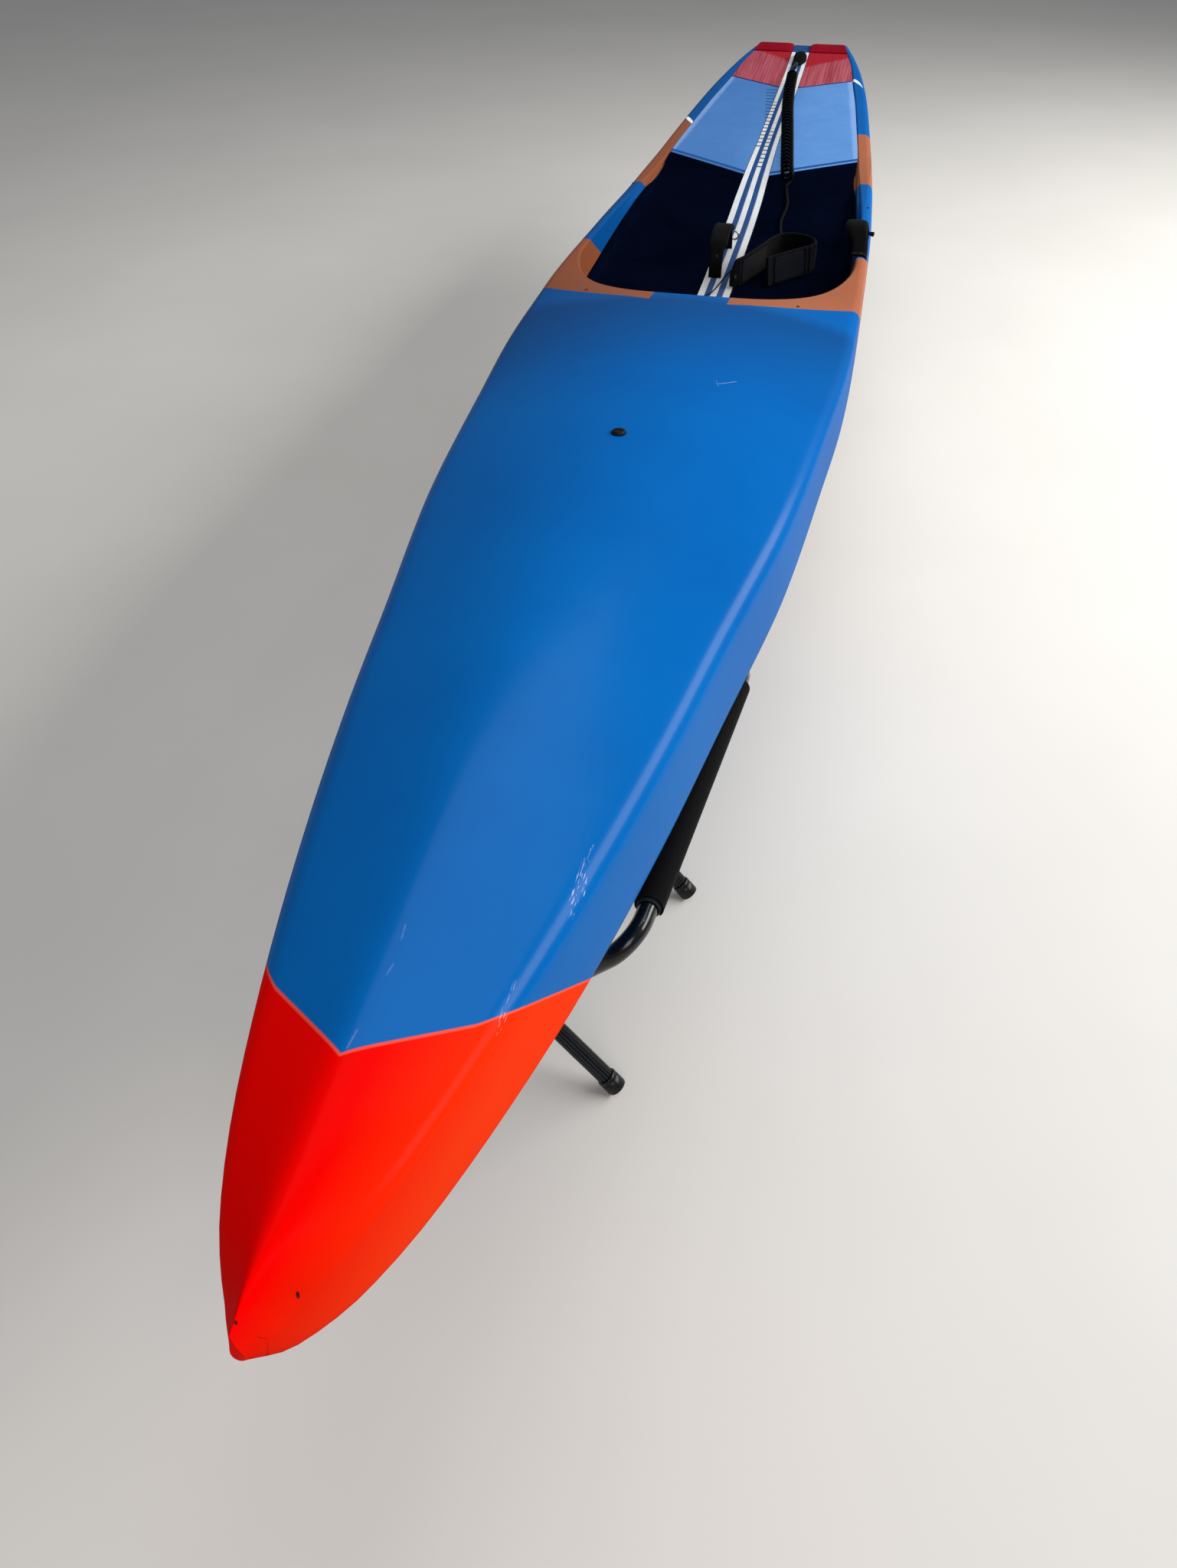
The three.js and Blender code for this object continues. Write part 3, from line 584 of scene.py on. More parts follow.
def copper_blocks(f):
    """The copper band on both sides of the tray's front, with a gap on the ridge, and the rims' blocks."""
    start = abs(f.y) * 0.625 + 1811 + (12 - f.z).most(0.0) * 0.2
    end = 2335 + (0 - f.z).most(-6.0) * 1.5
    band = (f.s - start).over(0, PAINT_EDGE) * (end - f.s).over(0, PAINT_EDGE)
    band = band * abs(f.y - 4).over(70, PAINT_EDGE)
    rims = (f.s - f.y * 0.17).over(2905, PAINT_EDGE) * (f.s + f.y * 0.11).under(3393, PAINT_EDGE)
    return band.most(rims)


def white_slashes(f):
    """A short slanting white stroke across each rim, the port one further aft and slightly bent."""
    port = f.y.over(0, 1.0)
    reach = (f.y + 241 - port * 438) / 20
    bulge = reach * reach
    slant = f.s - 3424 - port * 450 + reach * 38 - port * (1 - bulge) * 15
    return (14 - bulge * 11 - abs(slant)).over(0, PAINT_EDGE) * f.z.over(-2, 2)


def spot(f, s, y, length, width):
    """A soft oval mask round a place on the shell, with noise in its edge."""
    along = (f.s - s) / length
    across = (f.y - y) / width
    away = (along * along + across * across).math("SQRT")
    return (away + f.place.noise(70.0, 3.0) * 0.9).under(1.0, 0.25)


def scratch(f, s, y, slope, length, width):
    """A fine straight scratch through a place, along a slope across the board."""
    off = abs(f.y - y - (f.s - s) * slope)
    return off.under(width, 0.5) * abs(f.s - s).under(length, length * 0.3)


def shell_wear(f):
    """Pale scuffs on the port shoulder and a few fine scratches on the ridge and the deck."""
    streaks = f.place.stretched(40.0, 900.0, 400.0).noise(1.0, 2.0).over(0.62, 0.04)
    scuffs = spot(f, 450, 133, 70, 9).most(spot(f, 300, 104, 50, 4) * 0.6) * streaks * 0.8
    lines = scratch(f, 1502, 122, 0.9, 14, 0.9)
    for s, y, slope, length, width in ((1490, 108, -0.3, 10, 0.7), (221, 4, 0.1, 9, 0.8),
                                       (291, 10, 0.15, 6, 0.7), (330, 8, -0.1, 8, 0.7)):
        lines = lines.most(scratch(f, s, y, slope, length, width) * 0.35)
    return scuffs.most(lines * (f.place.noise(300.0, 2.0) * 0.6))


def nose_chips(f):
    """Small dark chips in the red paint and hairline cracks across the stem."""
    chips = spot(f, 43, 27, 2.6, 2.0).most(spot(f, 9, 1, 2.2, 2.0))
    crack = abs(f.s - 7 - f.y * 0.1 - f.place.noise(60.0, 2.0) * 10)
    hair = crack.under(0.4, 0.4) * abs(f.y).under(15, 4) * f.z.under(-6, 2)
    return chips.most(hair * 0.35)


# %% Shell finish
def shell_finish():
    f = Finish("gloss_shell", Coat_Roughness=0.2, Coat_IOR=1.5, Specular_IOR_Level=0.0)
    cloud = f.place.noise(2.4, 4.0)
    grain = f.place.noise(160.0, 2.0)
    nose, nose_line = nose_block(f)
    copper, worn, chips = copper_blocks(f), shell_wear(f), nose_chips(f)
    # The deck's blue is painted darker towards the tray and towards starboard, and darker again in a band
    # just before the tray: painted shade.
    aft = f.s.ramp(1300, 2100) * (0.5 - f.y / 900)
    painted_tray_front_shade = f.s.ramp(1500, 1830) * f.s.under(1880, 60) * f.z.over(0, 20)
    # The lower inner wall of the tray on the port side is painted dark brown: painted shade.
    painted_wall_shade = f.z.under(-16, 16) * abs(f.y).under(282, 4) * f.s.over(1900, 4) * f.y.over(-20, 40)
    # The copper is painted darker towards starboard: painted shade on the side away from the light.
    orange = (0.3 - f.y / 700).mix(cloud.mix("94523a", "a86845"), "6f3a22")
    # The red is painted warmer and more orange on the port side and down the sides: painted light from the
    # port side.
    red = (f.y / 150 + (10 - f.z) / 160).mix(cloud.mix("e00000", "f20300"), "f0360a")
    colour = layered(cloud.mix("00509a", "0068b4"),
                     (aft * 0.9, "0b3a6e"), (painted_tray_front_shade * 0.6, "0b3a6e"), (copper, orange),
                     (painted_wall_shade * 0.45, "1c1412"), (nose, red), (nose_line * 0.3, "f08a70"),
                     (white_slashes(f), "dfe3e6"), (worn, "c9d4de"), (chips, "3a1a14"))
    f.set(Base_Color=colour, Roughness=0.36 + cloud * 0.10 + grain * 0.04 + worn * 0.3)
    f.set(Coat_Weight=(0.17 + copper * 0.1 - nose * 0.13 - worn * 0.05 - chips * 0.05).clamped())
    return f.bump(grain * 0.12 - worn * 0.4 - chips * 1.2, 0.00025)


shell = shell_finish().material
print("shell finish:", len(shell.node_tree.nodes), "nodes")

# %% [markdown]
# ## The hull
#
# A displacement hull is lofted from cross-sections. The easy part lies in front of the tray, where each
# section is one closed ring. Where the tray begins, its round front edge crosses many sections, and
# cutting it out would leave ragged edges. So behind the tray's front the sections follow the edge's
# angle instead of equal steps, and each goes on over the rounded rim, down the wall, through a soft
# corner and across the floor. The edge then stays clean, and the gloss runs over it unbroken.

# %% Hull sections
CIRCLE = 0.5523


def ridge_round(s):
    """How soft the deck's ridge is: bulbous at the tip, crisp behind it, and a flat arch by the tray."""
    return 0.24 * (1 - smoothstep(s, 20, 200)) + blend(0.18, 1.2, smoothstep(s, 300, 1700))


def deck_rise(s, f):
    """How much of the crown a point of the deck has: f is 0 at the centre and 1 at the edge."""
    soft = ridge_round(s)
    full = math.hypot(1, soft)
    return (full - math.hypot(f, soft)) / (full - soft)


def deck_edge(s):
    """Half-widths where the deck ends and where the side begins, and the rounding's depth between them."""
    radius = SHOULDER_R * blend(0.45, 1, smoothstep(s, 80, 460))
    depth = min(radius, 0.42 * half(s), 0.6 * (edge(s) - rail(s)))
    side = half(s) - min(FLARE, 0.12 * half(s))
    return side - depth * blend(1, 0.7, smoothstep(s, LIP, LIP + 200)), side, depth


def deck_height(s, y):
    f = min(1, abs(y) / deck_edge(s)[0])
    return edge(s) + (crown(s) - edge(s)) * deck_rise(s, f)


def shoulder(s):
    """Points (side, height) of the rounding, which leaves the side upright and meets the deck's slope."""
    flat, side, radius = deck_edge(s)
    full = math.hypot(1, ridge_round(s))
    slope = (crown(s) - edge(s)) / (full * (full - ridge_round(s)) * flat)
    depth = edge(s) - rail(s)
    corner = Vector((side, edge(s) - min(slope * (side - flat), 0.45 * depth)))
    foot = Vector((side, max(min(edge(s) - radius, corner.y - 0.6 * radius), rail(s) + 0.1 * depth)))
    start = Vector((flat, edge(s)))
    return bezier(foot, foot.lerp(corner, CIRCLE), start.lerp(corner, CIRCLE), start, 9)


def outer_section(s):
    """Points (side, height) from the keel round the rail to the deck's edge."""
    points = []
    for a in np.linspace(0, math.pi / 2, 15):
        y = half(s) * math.sin(a) ** (2 / FULLNESS)
        points.append((y, rail(s) - (rail(s) - keel(s)) * math.cos(a) ** (2 / FULLNESS)))
    rounding = [tuple(p) for p in shoulder(s)]
    for t in (0.33, 0.67):
        points.append((blend(half(s), rounding[0][0], t), blend(rail(s), rounding[0][1], t)))
    return points + rounding


def hull_bottom(s, y):
    """The height of the same section's underside at a side."""
    sine = min(abs(y) / half(s), 1) ** (FULLNESS / 2)
    return rail(s) - (rail(s) - keel(s)) * math.sqrt(1 - sine * sine) ** (2 / FULLNESS)


# %% Tray sections
def lip_point(angle, inset):
    """A point (s, side) of the tray's edge at an angle round its front, moved inwards by the inset."""
    s = LIP + LIP_LENGTH * (1 - math.cos(angle))
    width = half(s) - RIM_WIDTH
    ds, dy = math.cos(angle) / LIP_LENGTH, -math.sin(angle) / width
    size = math.hypot(ds, dy)
    return s + inset * ds / size, width * math.sin(angle) + inset * dy / size


def tray_place(station):
    """The tray's edge at a station: up to 90 an angle in degrees, after that a distance from the nose."""
    if station <= 90:
        return lambda inset: lip_point(math.radians(station), inset)
    return lambda inset: (station, half(station) - rim_width(station) - inset)


def tray_shape(s):
    """The wall's lean and the radii of its top edge and of its foot, at a distance from the nose."""
    depth = max(edge(s) - tray_floor(s), 4)
    lean = WALL_SLOPE * min(1, depth / 30)
    return lean, min(6.0, 0.25 * depth), min(28.0, 0.68 * depth)


def tray_section(station):
    """Points (s, side, height) over the rim, down the wall, round the corner and across the floor."""
    place = tray_place(station)
    s, y = place(0)
    top, floor = deck_height(s, y), tray_floor(s)
    lean, lip, corner = tray_shape(s)
    points = []
    for a in np.linspace(0, math.pi / 2, 6):
        points.append((*place(lip * math.sin(a) - 0.7 * lip), top - lip + lip * math.cos(a)))
    for t in (0.25, 0.5, 0.75):
        points.append((*place(blend(0.3 * lip, lean, t)), blend(top - lip, floor + corner, t)))
    for a in np.linspace(0, math.pi / 2, 7):
        inset = lean + corner * (1 - math.cos(a))
        points.append((*place(inset), floor + corner * (1 - math.sin(a))))
    s_floor, y_floor = place(lean + corner)
    for t in (0.3, 0.65, 1.0):
        points.append((s_floor, y_floor * (1 - t), tray_floor(s_floor)))
    return points


# %% Hull mesh
DECK_STEPS = (0.9, 0.78, 0.64, 0.5, 0.38, 0.27, 0.18, 0.11, 0.05)
TRAY_POINTS = 19
OUTER_POINTS = len(outer_section(0)) + len(DECK_STEPS)
front_stations = [0, 3, 8, 14, 22, 32, 45, 60, 78, 98, 122, 150, 180, 215, 250]
front_stations += [round(v) for v in np.linspace(290, 1880, 46)]
tray_stations = [round(v, 2) for v in np.linspace(0, 90, 26)]
tray_stations += [round(v, 1) for v in np.linspace(2340, LENGTH, 50)]


def hull_row(station, in_tray):
    """One closed ring of the hull, keel first, then up the port side and down the starboard side."""
    if in_tray:
        inner = tray_section(station)
        s = tray_place(station)(0)[0]
    else:
        inner = [(station, 0.0, deck_height(station, 0))] * TRAY_POINTS
        s = station
    port = [(s, y, z) for y, z in outer_section(s)]
    flat = deck_edge(s)[0]
    end_s, end_y = inner[0][:2]
    for t in DECK_STEPS:
        y = blend(end_y, flat, t)
        port.append((blend(end_s, s, t), y, deck_height(s, y)))
    port += inner
    return [at(*p) for p in port] + [at(s, -y, z) for s, y, z in reversed(port[1:-1])]


def hull_mesh():
    """Rings joined by faces, with no face where the last deck ring meets the tray's open front."""
    rows = [hull_row(station, False) for station in front_stations]
    fronts = len(rows)
    rows += [hull_row(station, True) for station in tray_stations]
    n = len(rows[0])
    points = [p for row in rows for p in row]
    faces = [tuple(range(n)), tuple(range((len(rows) - 1) * n, len(rows) * n))]
    for i in range(len(rows) - 1):
        for j in range(n):
            if i == fronts - 1 and OUTER_POINTS - 1 < j < n - OUTER_POINTS:
                continue
            m = (j + 1) % n
            faces.append((i * n + j, i * n + m, (i + 1) * n + m, (i + 1) * n + j))
    return mesh_from("hull_shell", points, faces)


hull = piece("hull_shell", hull_mesh(), shell, ["hull"])
plug_base = under_middle("leash_plug")
plug_hole = lathe("plug_hole", [(15.4, 0), (15.4, 60)], plug_base - UP * (CLEAR / 1000), UP, 48)
low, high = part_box("fin_box")
low -= Vector((CLEAR, CLEAR, 30)) / 1000
high += Vector((CLEAR, CLEAR, CLEAR)) / 1000
carve(hull, [plug_hole, box_mesh("fin_hole", low, high)])
print("hull:", len(hull.data.polygons), "faces")

# %% [markdown]
# ## Finishes of the foam
#
# Deck pads are cut from closed-cell foam, brushed so that bare feet grip. Close up it is a
# dust of tiny open cells with fine cut grooves, and where heels rub it goes paler. So each pad
# colour has three layers: cells in the bump, grooves in both bump and colour, and a slow fade.

# %% Foam finishes
def foam_finish(name, dark, light, groove=12.7, along=False, depth=0.5, fade=1.0, gloss=0.1):
    """The common foam, with its colour wire for coats on top; along turns the grooves lengthwise."""
    f = Finish(name, Specular_IOR_Level=gloss)
    cells = f.place.noise(900.0, 2.0, 0.7)
    cloud = f.place.noise(7.0, 4.0)
    cut = (f.y if along else f.s).stripes(groove, 0.16, 0.2)
    worn = f.place.noise(26.0, 5.0, 0.65)
    shade = (cloud - 0.5) * fade + (worn - 0.5) * (0.5 * fade) + 0.5 + (cells - 0.5) * 0.35
    colour = (shade - cut * 0.22).mix(dark, light)
    f.set(Base_Color=colour, Roughness=0.78 + (cells - 0.5) * 0.3)
    return f.bump(cells * 0.35 - cut * depth, 0.0007), colour


def light_blue_foam():
    """Middle pads: bevelled in front in a light, a middle and a dark layer, worn pale along the rim;
    painted shade to starboard.
    """
    f, colour = foam_finish("light_blue_foam", "4676b4", "6596cf", depth=0.45, fade=0.7, gloss=0.03)
    front = f.s - abs(f.y) * 0.6275 - 2988
    rim = abs(f.y) - 251 + (f.s - 3000) * 0.085
    worn = (f.place.noise(60.0, 4.0, 0.7) * 16 + rim).over(4, 8)
    beside = (f.y + 58 - (3720 - f.s) * 0.1).over(0, 2) * f.y.under(0, 1)
    ruled = f.s.stripes(TICK, 0.26, 0.14) * beside * f.s.over(3430, 60) * f.s.under(3765, 4)
    # The pads are painted darker towards starboard: painted shade.
    colour = layered(colour, (f.y.ramp(80, -80) * 0.55, "34609c"), (worn * 0.3, "a9c4e4"),
                     (front.under(24, 1.5), "1f4c88"), (front.under(8, 1.0), "5a8cc8"),
                     (front.under(4.5, 1.0), "1a3f78"), (ruled * 0.95, "234c86"))
    return f.set(Base_Color=colour).material


def red_foam():
    """Tail pads: brushed lengthwise, faded to a dusty rose, and darker red in a band in front of the kick
    bars.
    """
    f = Finish("red_foam", Specular_IOR_Level=0.12)
    streak = f.place.stretched(3.0, 60.0, 3.0).noise(1.0, 4.0, 0.6)
    cells = f.place.noise(900.0, 2.0, 0.7)
    cut = f.y.stripes(10.0, 0.14, 0.2)
    shade = (streak - 0.5) * 1.6 + 0.5 + (cells - 0.5) * 0.3 - cut * 0.25
    side = abs(f.y)
    ragged = (f.place.noise(30.0, 4.0) - 0.5) * 40
    # A band in front of the kick bars, deepest inboard, is mixed to deep red.
    deep_red_by_kick = f.s - 3990 - side * 0.9 - f.y.under(0, 1) * 60 - ragged
    # A dark navy line along the pad's front edge is painted shade of the gap between the pads.
    front = f.s - side * 0.637 - 3780
    colour = layered(shade.mix("7d1526", "b4606c"),
                     (deep_red_by_kick.over(0, 22) * 0.9, "97031a"), (front.under(4, 1.5), "1d2c5c"))
    f.set(Base_Color=colour, Roughness=0.8 + (cells - 0.5) * 0.2)
    return f.bump(cells * 0.35 - cut * 0.5, 0.0007).material


navy = foam_finish("navy_foam", "01030b", "050a1c", groove=9.0, depth=0.4, gloss=0.0)[0].material
light_blue = light_blue_foam()
red = red_foam()
dark_red = foam_finish("dark_red_foam", "6c0212", "92041e", groove=10.0, along=True, gloss=0.06)[0].material
print("foam finishes:", navy.name, light_blue.name, red.name, dark_red.name)

# %% [markdown]
# ## The deck pads
#
# The pads are flat mats, but their outer edges run up the tray's round corner like a carpet up a
# skirting. A flat slab would leave a bare blue gutter there. So each row of a pad starts on the
# centre line, follows the floor, then climbs the same corner arc that the hull was built with. The
# light-blue pads are bevelled along their front, where the lower layer of foam shows darker.

# %% Pads that climb the wall
def v_line(centre, side, width):
    """An edge across both pads: its distance from the nose on the centre line and at a given side."""
    return lambda y: centre + (side - centre) * abs(y) / width


def moved(line, step):
    return lambda y: line(y) + step


def pad_climb(s):
    """How far round the corner's quarter circle the pad goes, from 0 to 1."""
    return 0.9 * smoothstep(edge(s) - tray_floor(s), 9, 30) * smoothstep(s, 1930, 2130)


STRIP_GAP = 1.2


def pad_row(place, lift):
    """A row of (s, side, height) from the strip to the pad's edge on the wall, lift above the hull."""
    s = place(0)[0]
    y0 = strip_half(s) + STRIP_GAP
    lean, _, corner = tray_shape(s)
    foot = lean + corner + 0.8
    foot_s, foot_y = place(foot)
    floor = tray_floor(foot_s)
    row = [(foot_s, blend(y0, max(foot_y, y0 + 1), t), floor + lift) for t in np.linspace(0, 1, 9)]
    for t in (0.2, 0.4, 0.6, 0.8, 1.0):
        a = t * pad_climb(s) * math.pi / 2
        inset = foot - corner * math.sin(a) + lift * math.sin(a)
        if pad_climb(s) < 0.02:
            inset = foot - 3 * t * min(1, corner / 4)
        point = place(inset)
        height = floor + corner * (1 - math.cos(a)) + lift * math.cos(a)
        row.append((point[0], max(point[1], y0 + 2), height))
    return row


def flat_rows(start, end, steps, lift):
    """Rows of a pad from one slanting edge to another, each point found by a few rounds of trial."""
    rows = []
    for u in np.linspace(0, 1, steps):
        row = []
        for k in range(14):
            s = blend(start(0), end(0), u)
            for _ in range(7):
                base = pad_row(tray_place(s), lift)
                s = blend(start(base[k][1]), end(base[k][1]), u)
            row.append((s, base[k][1], base[k][2]))
        rows.append(row)
    return rows


def pad_piece(name, under, over, side, finish, bevel=0.0012):
    """A pad between two grids of (s, side, height), as they are or mirrored to starboard."""
    grids = [[[at(s, y * side, z) for s, y, z in row] for row in rows] for rows in (under, over)]
    obj = piece(name + "_foam", slab(name, *grids), finish, [name], bevel)


front_start = v_line(2306, 2306, 1)
front_end = v_line(2985, 3140, 247)
middle_start = v_line(2988, 3143, 247)
middle_end = v_line(3776, 3892, 182)
tail_start = v_line(3780, 3896, 182)
tail_end = v_line(4172, 4172, 1)
LIP_ANGLES = (9.5, 12, 16, 20, 26, 32, 40, 48, 56, 64, 72, 80, 86)


def front_rows(lift):
    """The front pad: rows round the tray's curved front, then rows across its straight part."""
    rows = [pad_row(tray_place(angle), lift) for angle in LIP_ANGLES]
    return rows + flat_rows(front_start, front_end, 34, lift)


for side_name, side in SIDES:
    pad_piece("front_pad_" + side_name, front_rows(PAD_GAP), front_rows(PAD + PAD_LIFT - 0.5), side,
              navy)
    pad_piece("middle_pad_" + side_name, flat_rows(middle_start, middle_end, 26, PAD_GAP),
              flat_rows(moved(middle_start, 7), moved(middle_end, -1.5), 26, PAD + PAD_LIFT), side,
              light_blue)
    pad_piece("tail_pad_" + side_name, flat_rows(tail_start, tail_end, 14, PAD_GAP),
              flat_rows(moved(tail_start, 1.5), moved(tail_end, -1), 14, PAD + PAD_LIFT), side,
              red)
print("pads: 6 pieces,", PAD, "mm thick, climbing", round(pad_climb(2500), 2), "of the corner at s 2500")

# %% [markdown]
# ## The kick pads
#
# At the tail a raised bar tells the rear foot where the board ends. It is the same foam, moulded
# into a hump. Its cross-section is a row of heights, swept from the centre strip to the rim.

# %% Kick pads
KICK_FROM = 4174.5


def kick_rows(lift_of):
    """Rows across the bar: lift_of gives the height over the floor by the shares aft and outboard."""
    rows = []
    for u in np.linspace(0, 1, 15):
        row = pad_row(tray_place(blend(KICK_FROM, STRIP_TO, u)), 0)
        rows.append([(s, y, z + lift_of(u, k / (len(row) - 1))) for k, (s, y, z) in enumerate(row)])
    return rows


def kick_lift(u, v):
    crest = math.sin(math.pi * min(1, 0.16 + 0.62 * u)) ** 1.2
    ends = smoothstep(v, -0.02, 0.06) * smoothstep(1 - v, -0.02, 0.06)
    return PAD_LIFT + PAD * 0.6 + 13 * crest * (0.55 + 0.45 * ends)


for side_name, side in SIDES:
    pad_piece("kick_pad_" + side_name, kick_rows(lambda u, v: PAD_GAP), kick_rows(kick_lift), side,
              dark_red, 0.002)
print("kick bars rise", round(kick_lift(0.4, 0.5), 1), "mm over the floor")

# %% [markdown]
# ## The striped centre strip
#
# A narrow strip of foam runs down the middle, white with two blue stripes. The stripes are a mask
# of the distance from the centre line, which narrows as the strip does. A plain scale of short
# ticks, an inch and a quarter apart, runs between the stripes, then along the starboard edge, and
# further aft on the light-blue pad beside it. The last hand's breadth before the tail is plain blue.

# %% Centre strip
STRIPE_IN, STRIPE_OUT = 6.6, 19.4


def strip_finish():
    f = Finish("striped_foam", Specular_IOR_Level=0.12)
    across = f.y * (f.s.ramp(*STRIP_TAPER) * 0.235 + 1)
    side = abs(across)
    cells = f.place.noise(900.0, 2.0, 0.7)
    dirt = f.place.noise(11.0, 5.0, 0.65)
    blue = (side.over(STRIPE_IN, 0.6) * side.under(STRIPE_OUT, 0.6)).most(f.s.over(4172, 1.0))
    edge_ticks = across.under(-STRIPE_OUT, 0.6) * f.s.over(3210, 4) * f.s.under(3640, 60)
    middle_ticks = side.under(STRIPE_IN, 0.6) * f.s.over(3050, 4) * f.s.under(3375, 30)
    ruled = f.s.stripes(TICK, 0.26, 0.14) * edge_ticks.most(middle_ticks)
    in_shade = (blue * 0.9).mix("8f8a84", "12305c")
    colour = layered(dirt.mix("b9bdc1", "e4e6e6"), (ruled * 0.95, "1d3960"),
                     (blue, dirt.mix("133768", "204c85")), (f.s.ramp(2950, 2250) * 0.5, in_shade))
    f.set(Base_Color=colour, Roughness=0.75 + (cells - 0.5) * 0.3)
    groove = f.s.stripes(12.7, 0.16, 0.2)
    inlay = abs(side - STRIPE_IN).under(0.8, 0.5).most(abs(side - STRIPE_OUT).under(0.8, 0.5))
    return f.bump(cells * 0.3 - groove * 0.3 - inlay * 0.6, 0.0007).material


def strip_grid(lift, trim):
    def point(u, v):
        s = blend(STRIP_FROM + trim, STRIP_TO - trim, u)
        return at(s, v * (strip_half(s) - trim), tray_floor(s) + lift)

    return grid_of(point, 90, 11)


strip_mesh = slab("centre_strip", strip_grid(PAD_GAP, 0), strip_grid(PAD_LIFT + PAD, 0.8))
strip = piece("centre_strip_foam", strip_mesh, strip_finish(), ["centre_strip"])
carve(strip, [lathe("strip_hole", [(16, 0), (16, 80)], plug_base, UP, 48)])
print("strip faces:", len(strip.data.polygons))

# %% [markdown]
# ## Finishes of cloth, cord and hard parts
#
# Webbing is woven in ribs, neoprene has a fine knitted face, urethane cord shines like wet
# liquorice, and the stands mix glossy enamel, dull foam and ribbed aluminium. Each finish gets its
# own scale of detail, so that the black parts don't melt into one shadow.

# %% Cloth finishes
def webbing_finish():
    """Woven tape: ribs along it and, further apart, across it."""
    f = Finish("black_webbing", Specular_IOR_Level=0.05, Sheen_Weight=0.015, Sheen_Roughness=0.5)
    along, across = f.s + f.z * 0.7, f.y + f.z * 0.7
    weave = along.stripes(2.2, 0.5, 0.35) * 0.6 + across.stripes(3.08, 0.5, 0.35) * 0.4
    fluff = f.place.noise(300.0, 3.0, 0.7)
    shade = weave * 0.5 + fluff * 0.7 - 0.1
    f.set(Base_Color=shade.mix("010102", "08080a"), Roughness=0.62 + fluff * 0.25)
    return f.bump(weave * 0.7 + fluff * 0.3, 0.0005).material


def neoprene_finish(name, base, worn):
    """Cuff cloth: a soft knitted face over foam."""
    f = Finish(name, Specular_IOR_Level=0.05, Sheen_Weight=0.02, Sheen_Roughness=0.45)
    rib = (f.z + f.s * 0.11).stripes(3.4, 0.42, 0.3)
    wale = (f.y * 0.8 + f.s * 0.6).stripes(2.6, 0.5, 0.4)
    fluff = f.place.noise(380.0, 3.0, 0.7)
    rub = f.place.noise(32.0, 4.0)
    shade = rub * 0.5 + fluff * 0.4 + wale * 0.15 - rib * 0.12
    f.set(Base_Color=shade.mix(base, worn), Roughness=0.72 + fluff * 0.2)
    return f.bump(wale * 0.35 + rib * 0.3 + fluff * 0.35, 0.0005).material


def loop_tape_finish():
    """The fuzzy half of a hook-and-loop closure."""
    f = Finish("loop_tape", Specular_IOR_Level=0.04, Sheen_Weight=0.03, Sheen_Roughness=0.6)
    fuzz = f.place.noise(650.0, 4.0, 0.8)
    f.set(Base_Color=fuzz.mix("020304", "0c0d10"), Roughness=0.85 + fuzz * 0.1)
    return f.bump(fuzz, 0.0009).material


webbing = webbing_finish()
neoprene = neoprene_finish("black_neoprene", "010102", "060609")
cuff_panel = neoprene_finish("grey_fabric", "06070a", "15171d")
loop_tape = loop_tape_finish()
print("cloth finishes:", [m.name for m in (webbing, neoprene, cuff_panel, loop_tape)])


# %% Hard finishes
def plastic_finish(name, base, light, roughness, grain=0.25, size=500.0, gloss=0.3):
    """Moulded plastic or rubber with a spark-eroded grain and faint handling marks."""
    f = Finish(name, Specular_IOR_Level=gloss)
    pebble = f.place.noise(size, 2.0, 0.6)
    marks = f.place.noise(45.0, 5.0, 0.7)
    shade = (marks - 0.5) * 1.2 + 0.45
    f.set(Base_Color=shade.mix(base, light), Roughness=roughness + (marks - 0.5) * 0.2 + pebble * 0.05)
    return f.bump(pebble * grain + marks * 0.1, 0.0004).material


def metal_finish(name, base, light, roughness, metallic=1.0):
    """Drawn metal: fine streaks along the part and soft darker handling marks."""
    f = Finish(name)
    streak = f.place.stretched(4.0, 400.0, 400.0).noise(1.0, 3.0)
    stain = f.place.noise(30.0, 5.0, 0.6)
    shade = streak * 0.6 + stain * 0.8 - 0.2
    f.set(Base_Color=shade.mix(base, light), Roughness=roughness + (streak - 0.5) * 0.25)
    f.set(Metallic=stain * 0.1 + (metallic - 0.1))
    return f.bump(streak * 0.3, 0.0002).material


def enamel_finish():
    """Glossy black powder coat on the stands' tubes, with an orange-peel surface and small chips."""
    f = Finish("black_tube", Coat_Roughness=0.05, Coat_IOR=1.5, Specular_IOR_Level=0.2)
    peel = f.place.noise(240.0, 2.0)
    chips = f.place.noise(90.0, 3.0, 0.6).over(0.73, 0.02)
    f.set(Base_Color=chips.mix(peel.mix("040405", "090a0b"), "6b6c6e"), Roughness=0.22 + peel * 0.1)
    f.set(Coat_Weight=0.55 - chips * 0.5)
    return f.bump(peel * 0.5 - chips, 0.0002).material


def carbon_finish():
    """Twill of carbon fibre under clear resin: the tows run both ways in steps."""
    f = Finish("carbon", Coat_Roughness=0.05, Coat_IOR=1.5)
    twill = abs((f.s + f.z).stripes(4.8, 0.5, 0.2) - (f.s - f.z).stripes(4.8, 0.5, 0.2))
    fray = f.place.noise(500.0, 2.0)
    f.set(Base_Color=twill.mix("0a0b0d", "26282c"), Roughness=0.3 + twill * 0.15 + fray * 0.1)
    f.set(Coat_Weight=0.8 + fray * 0.1)
    return f.bump(twill * 0.4 + fray * 0.1, 0.0002).material


def sleeve_foam_finish():
    """Dull grey sleeve foam: an open skin with dents and rubbed spots."""
    f = Finish("grey_foam", Specular_IOR_Level=0.2)
    cells = f.place.noise(520.0, 3.0, 0.7)
    rub = f.place.noise(18.0, 5.0, 0.65)
    shade = (rub - 0.5) * 1.3 + 0.4 + (cells - 0.5) * 0.4
    f.set(Base_Color=shade.mix("121518", "2e3236"), Roughness=0.86 + (cells - 0.5) * 0.15)
    return f.bump(cells * 0.6 + rub * 0.5, 0.0008).material


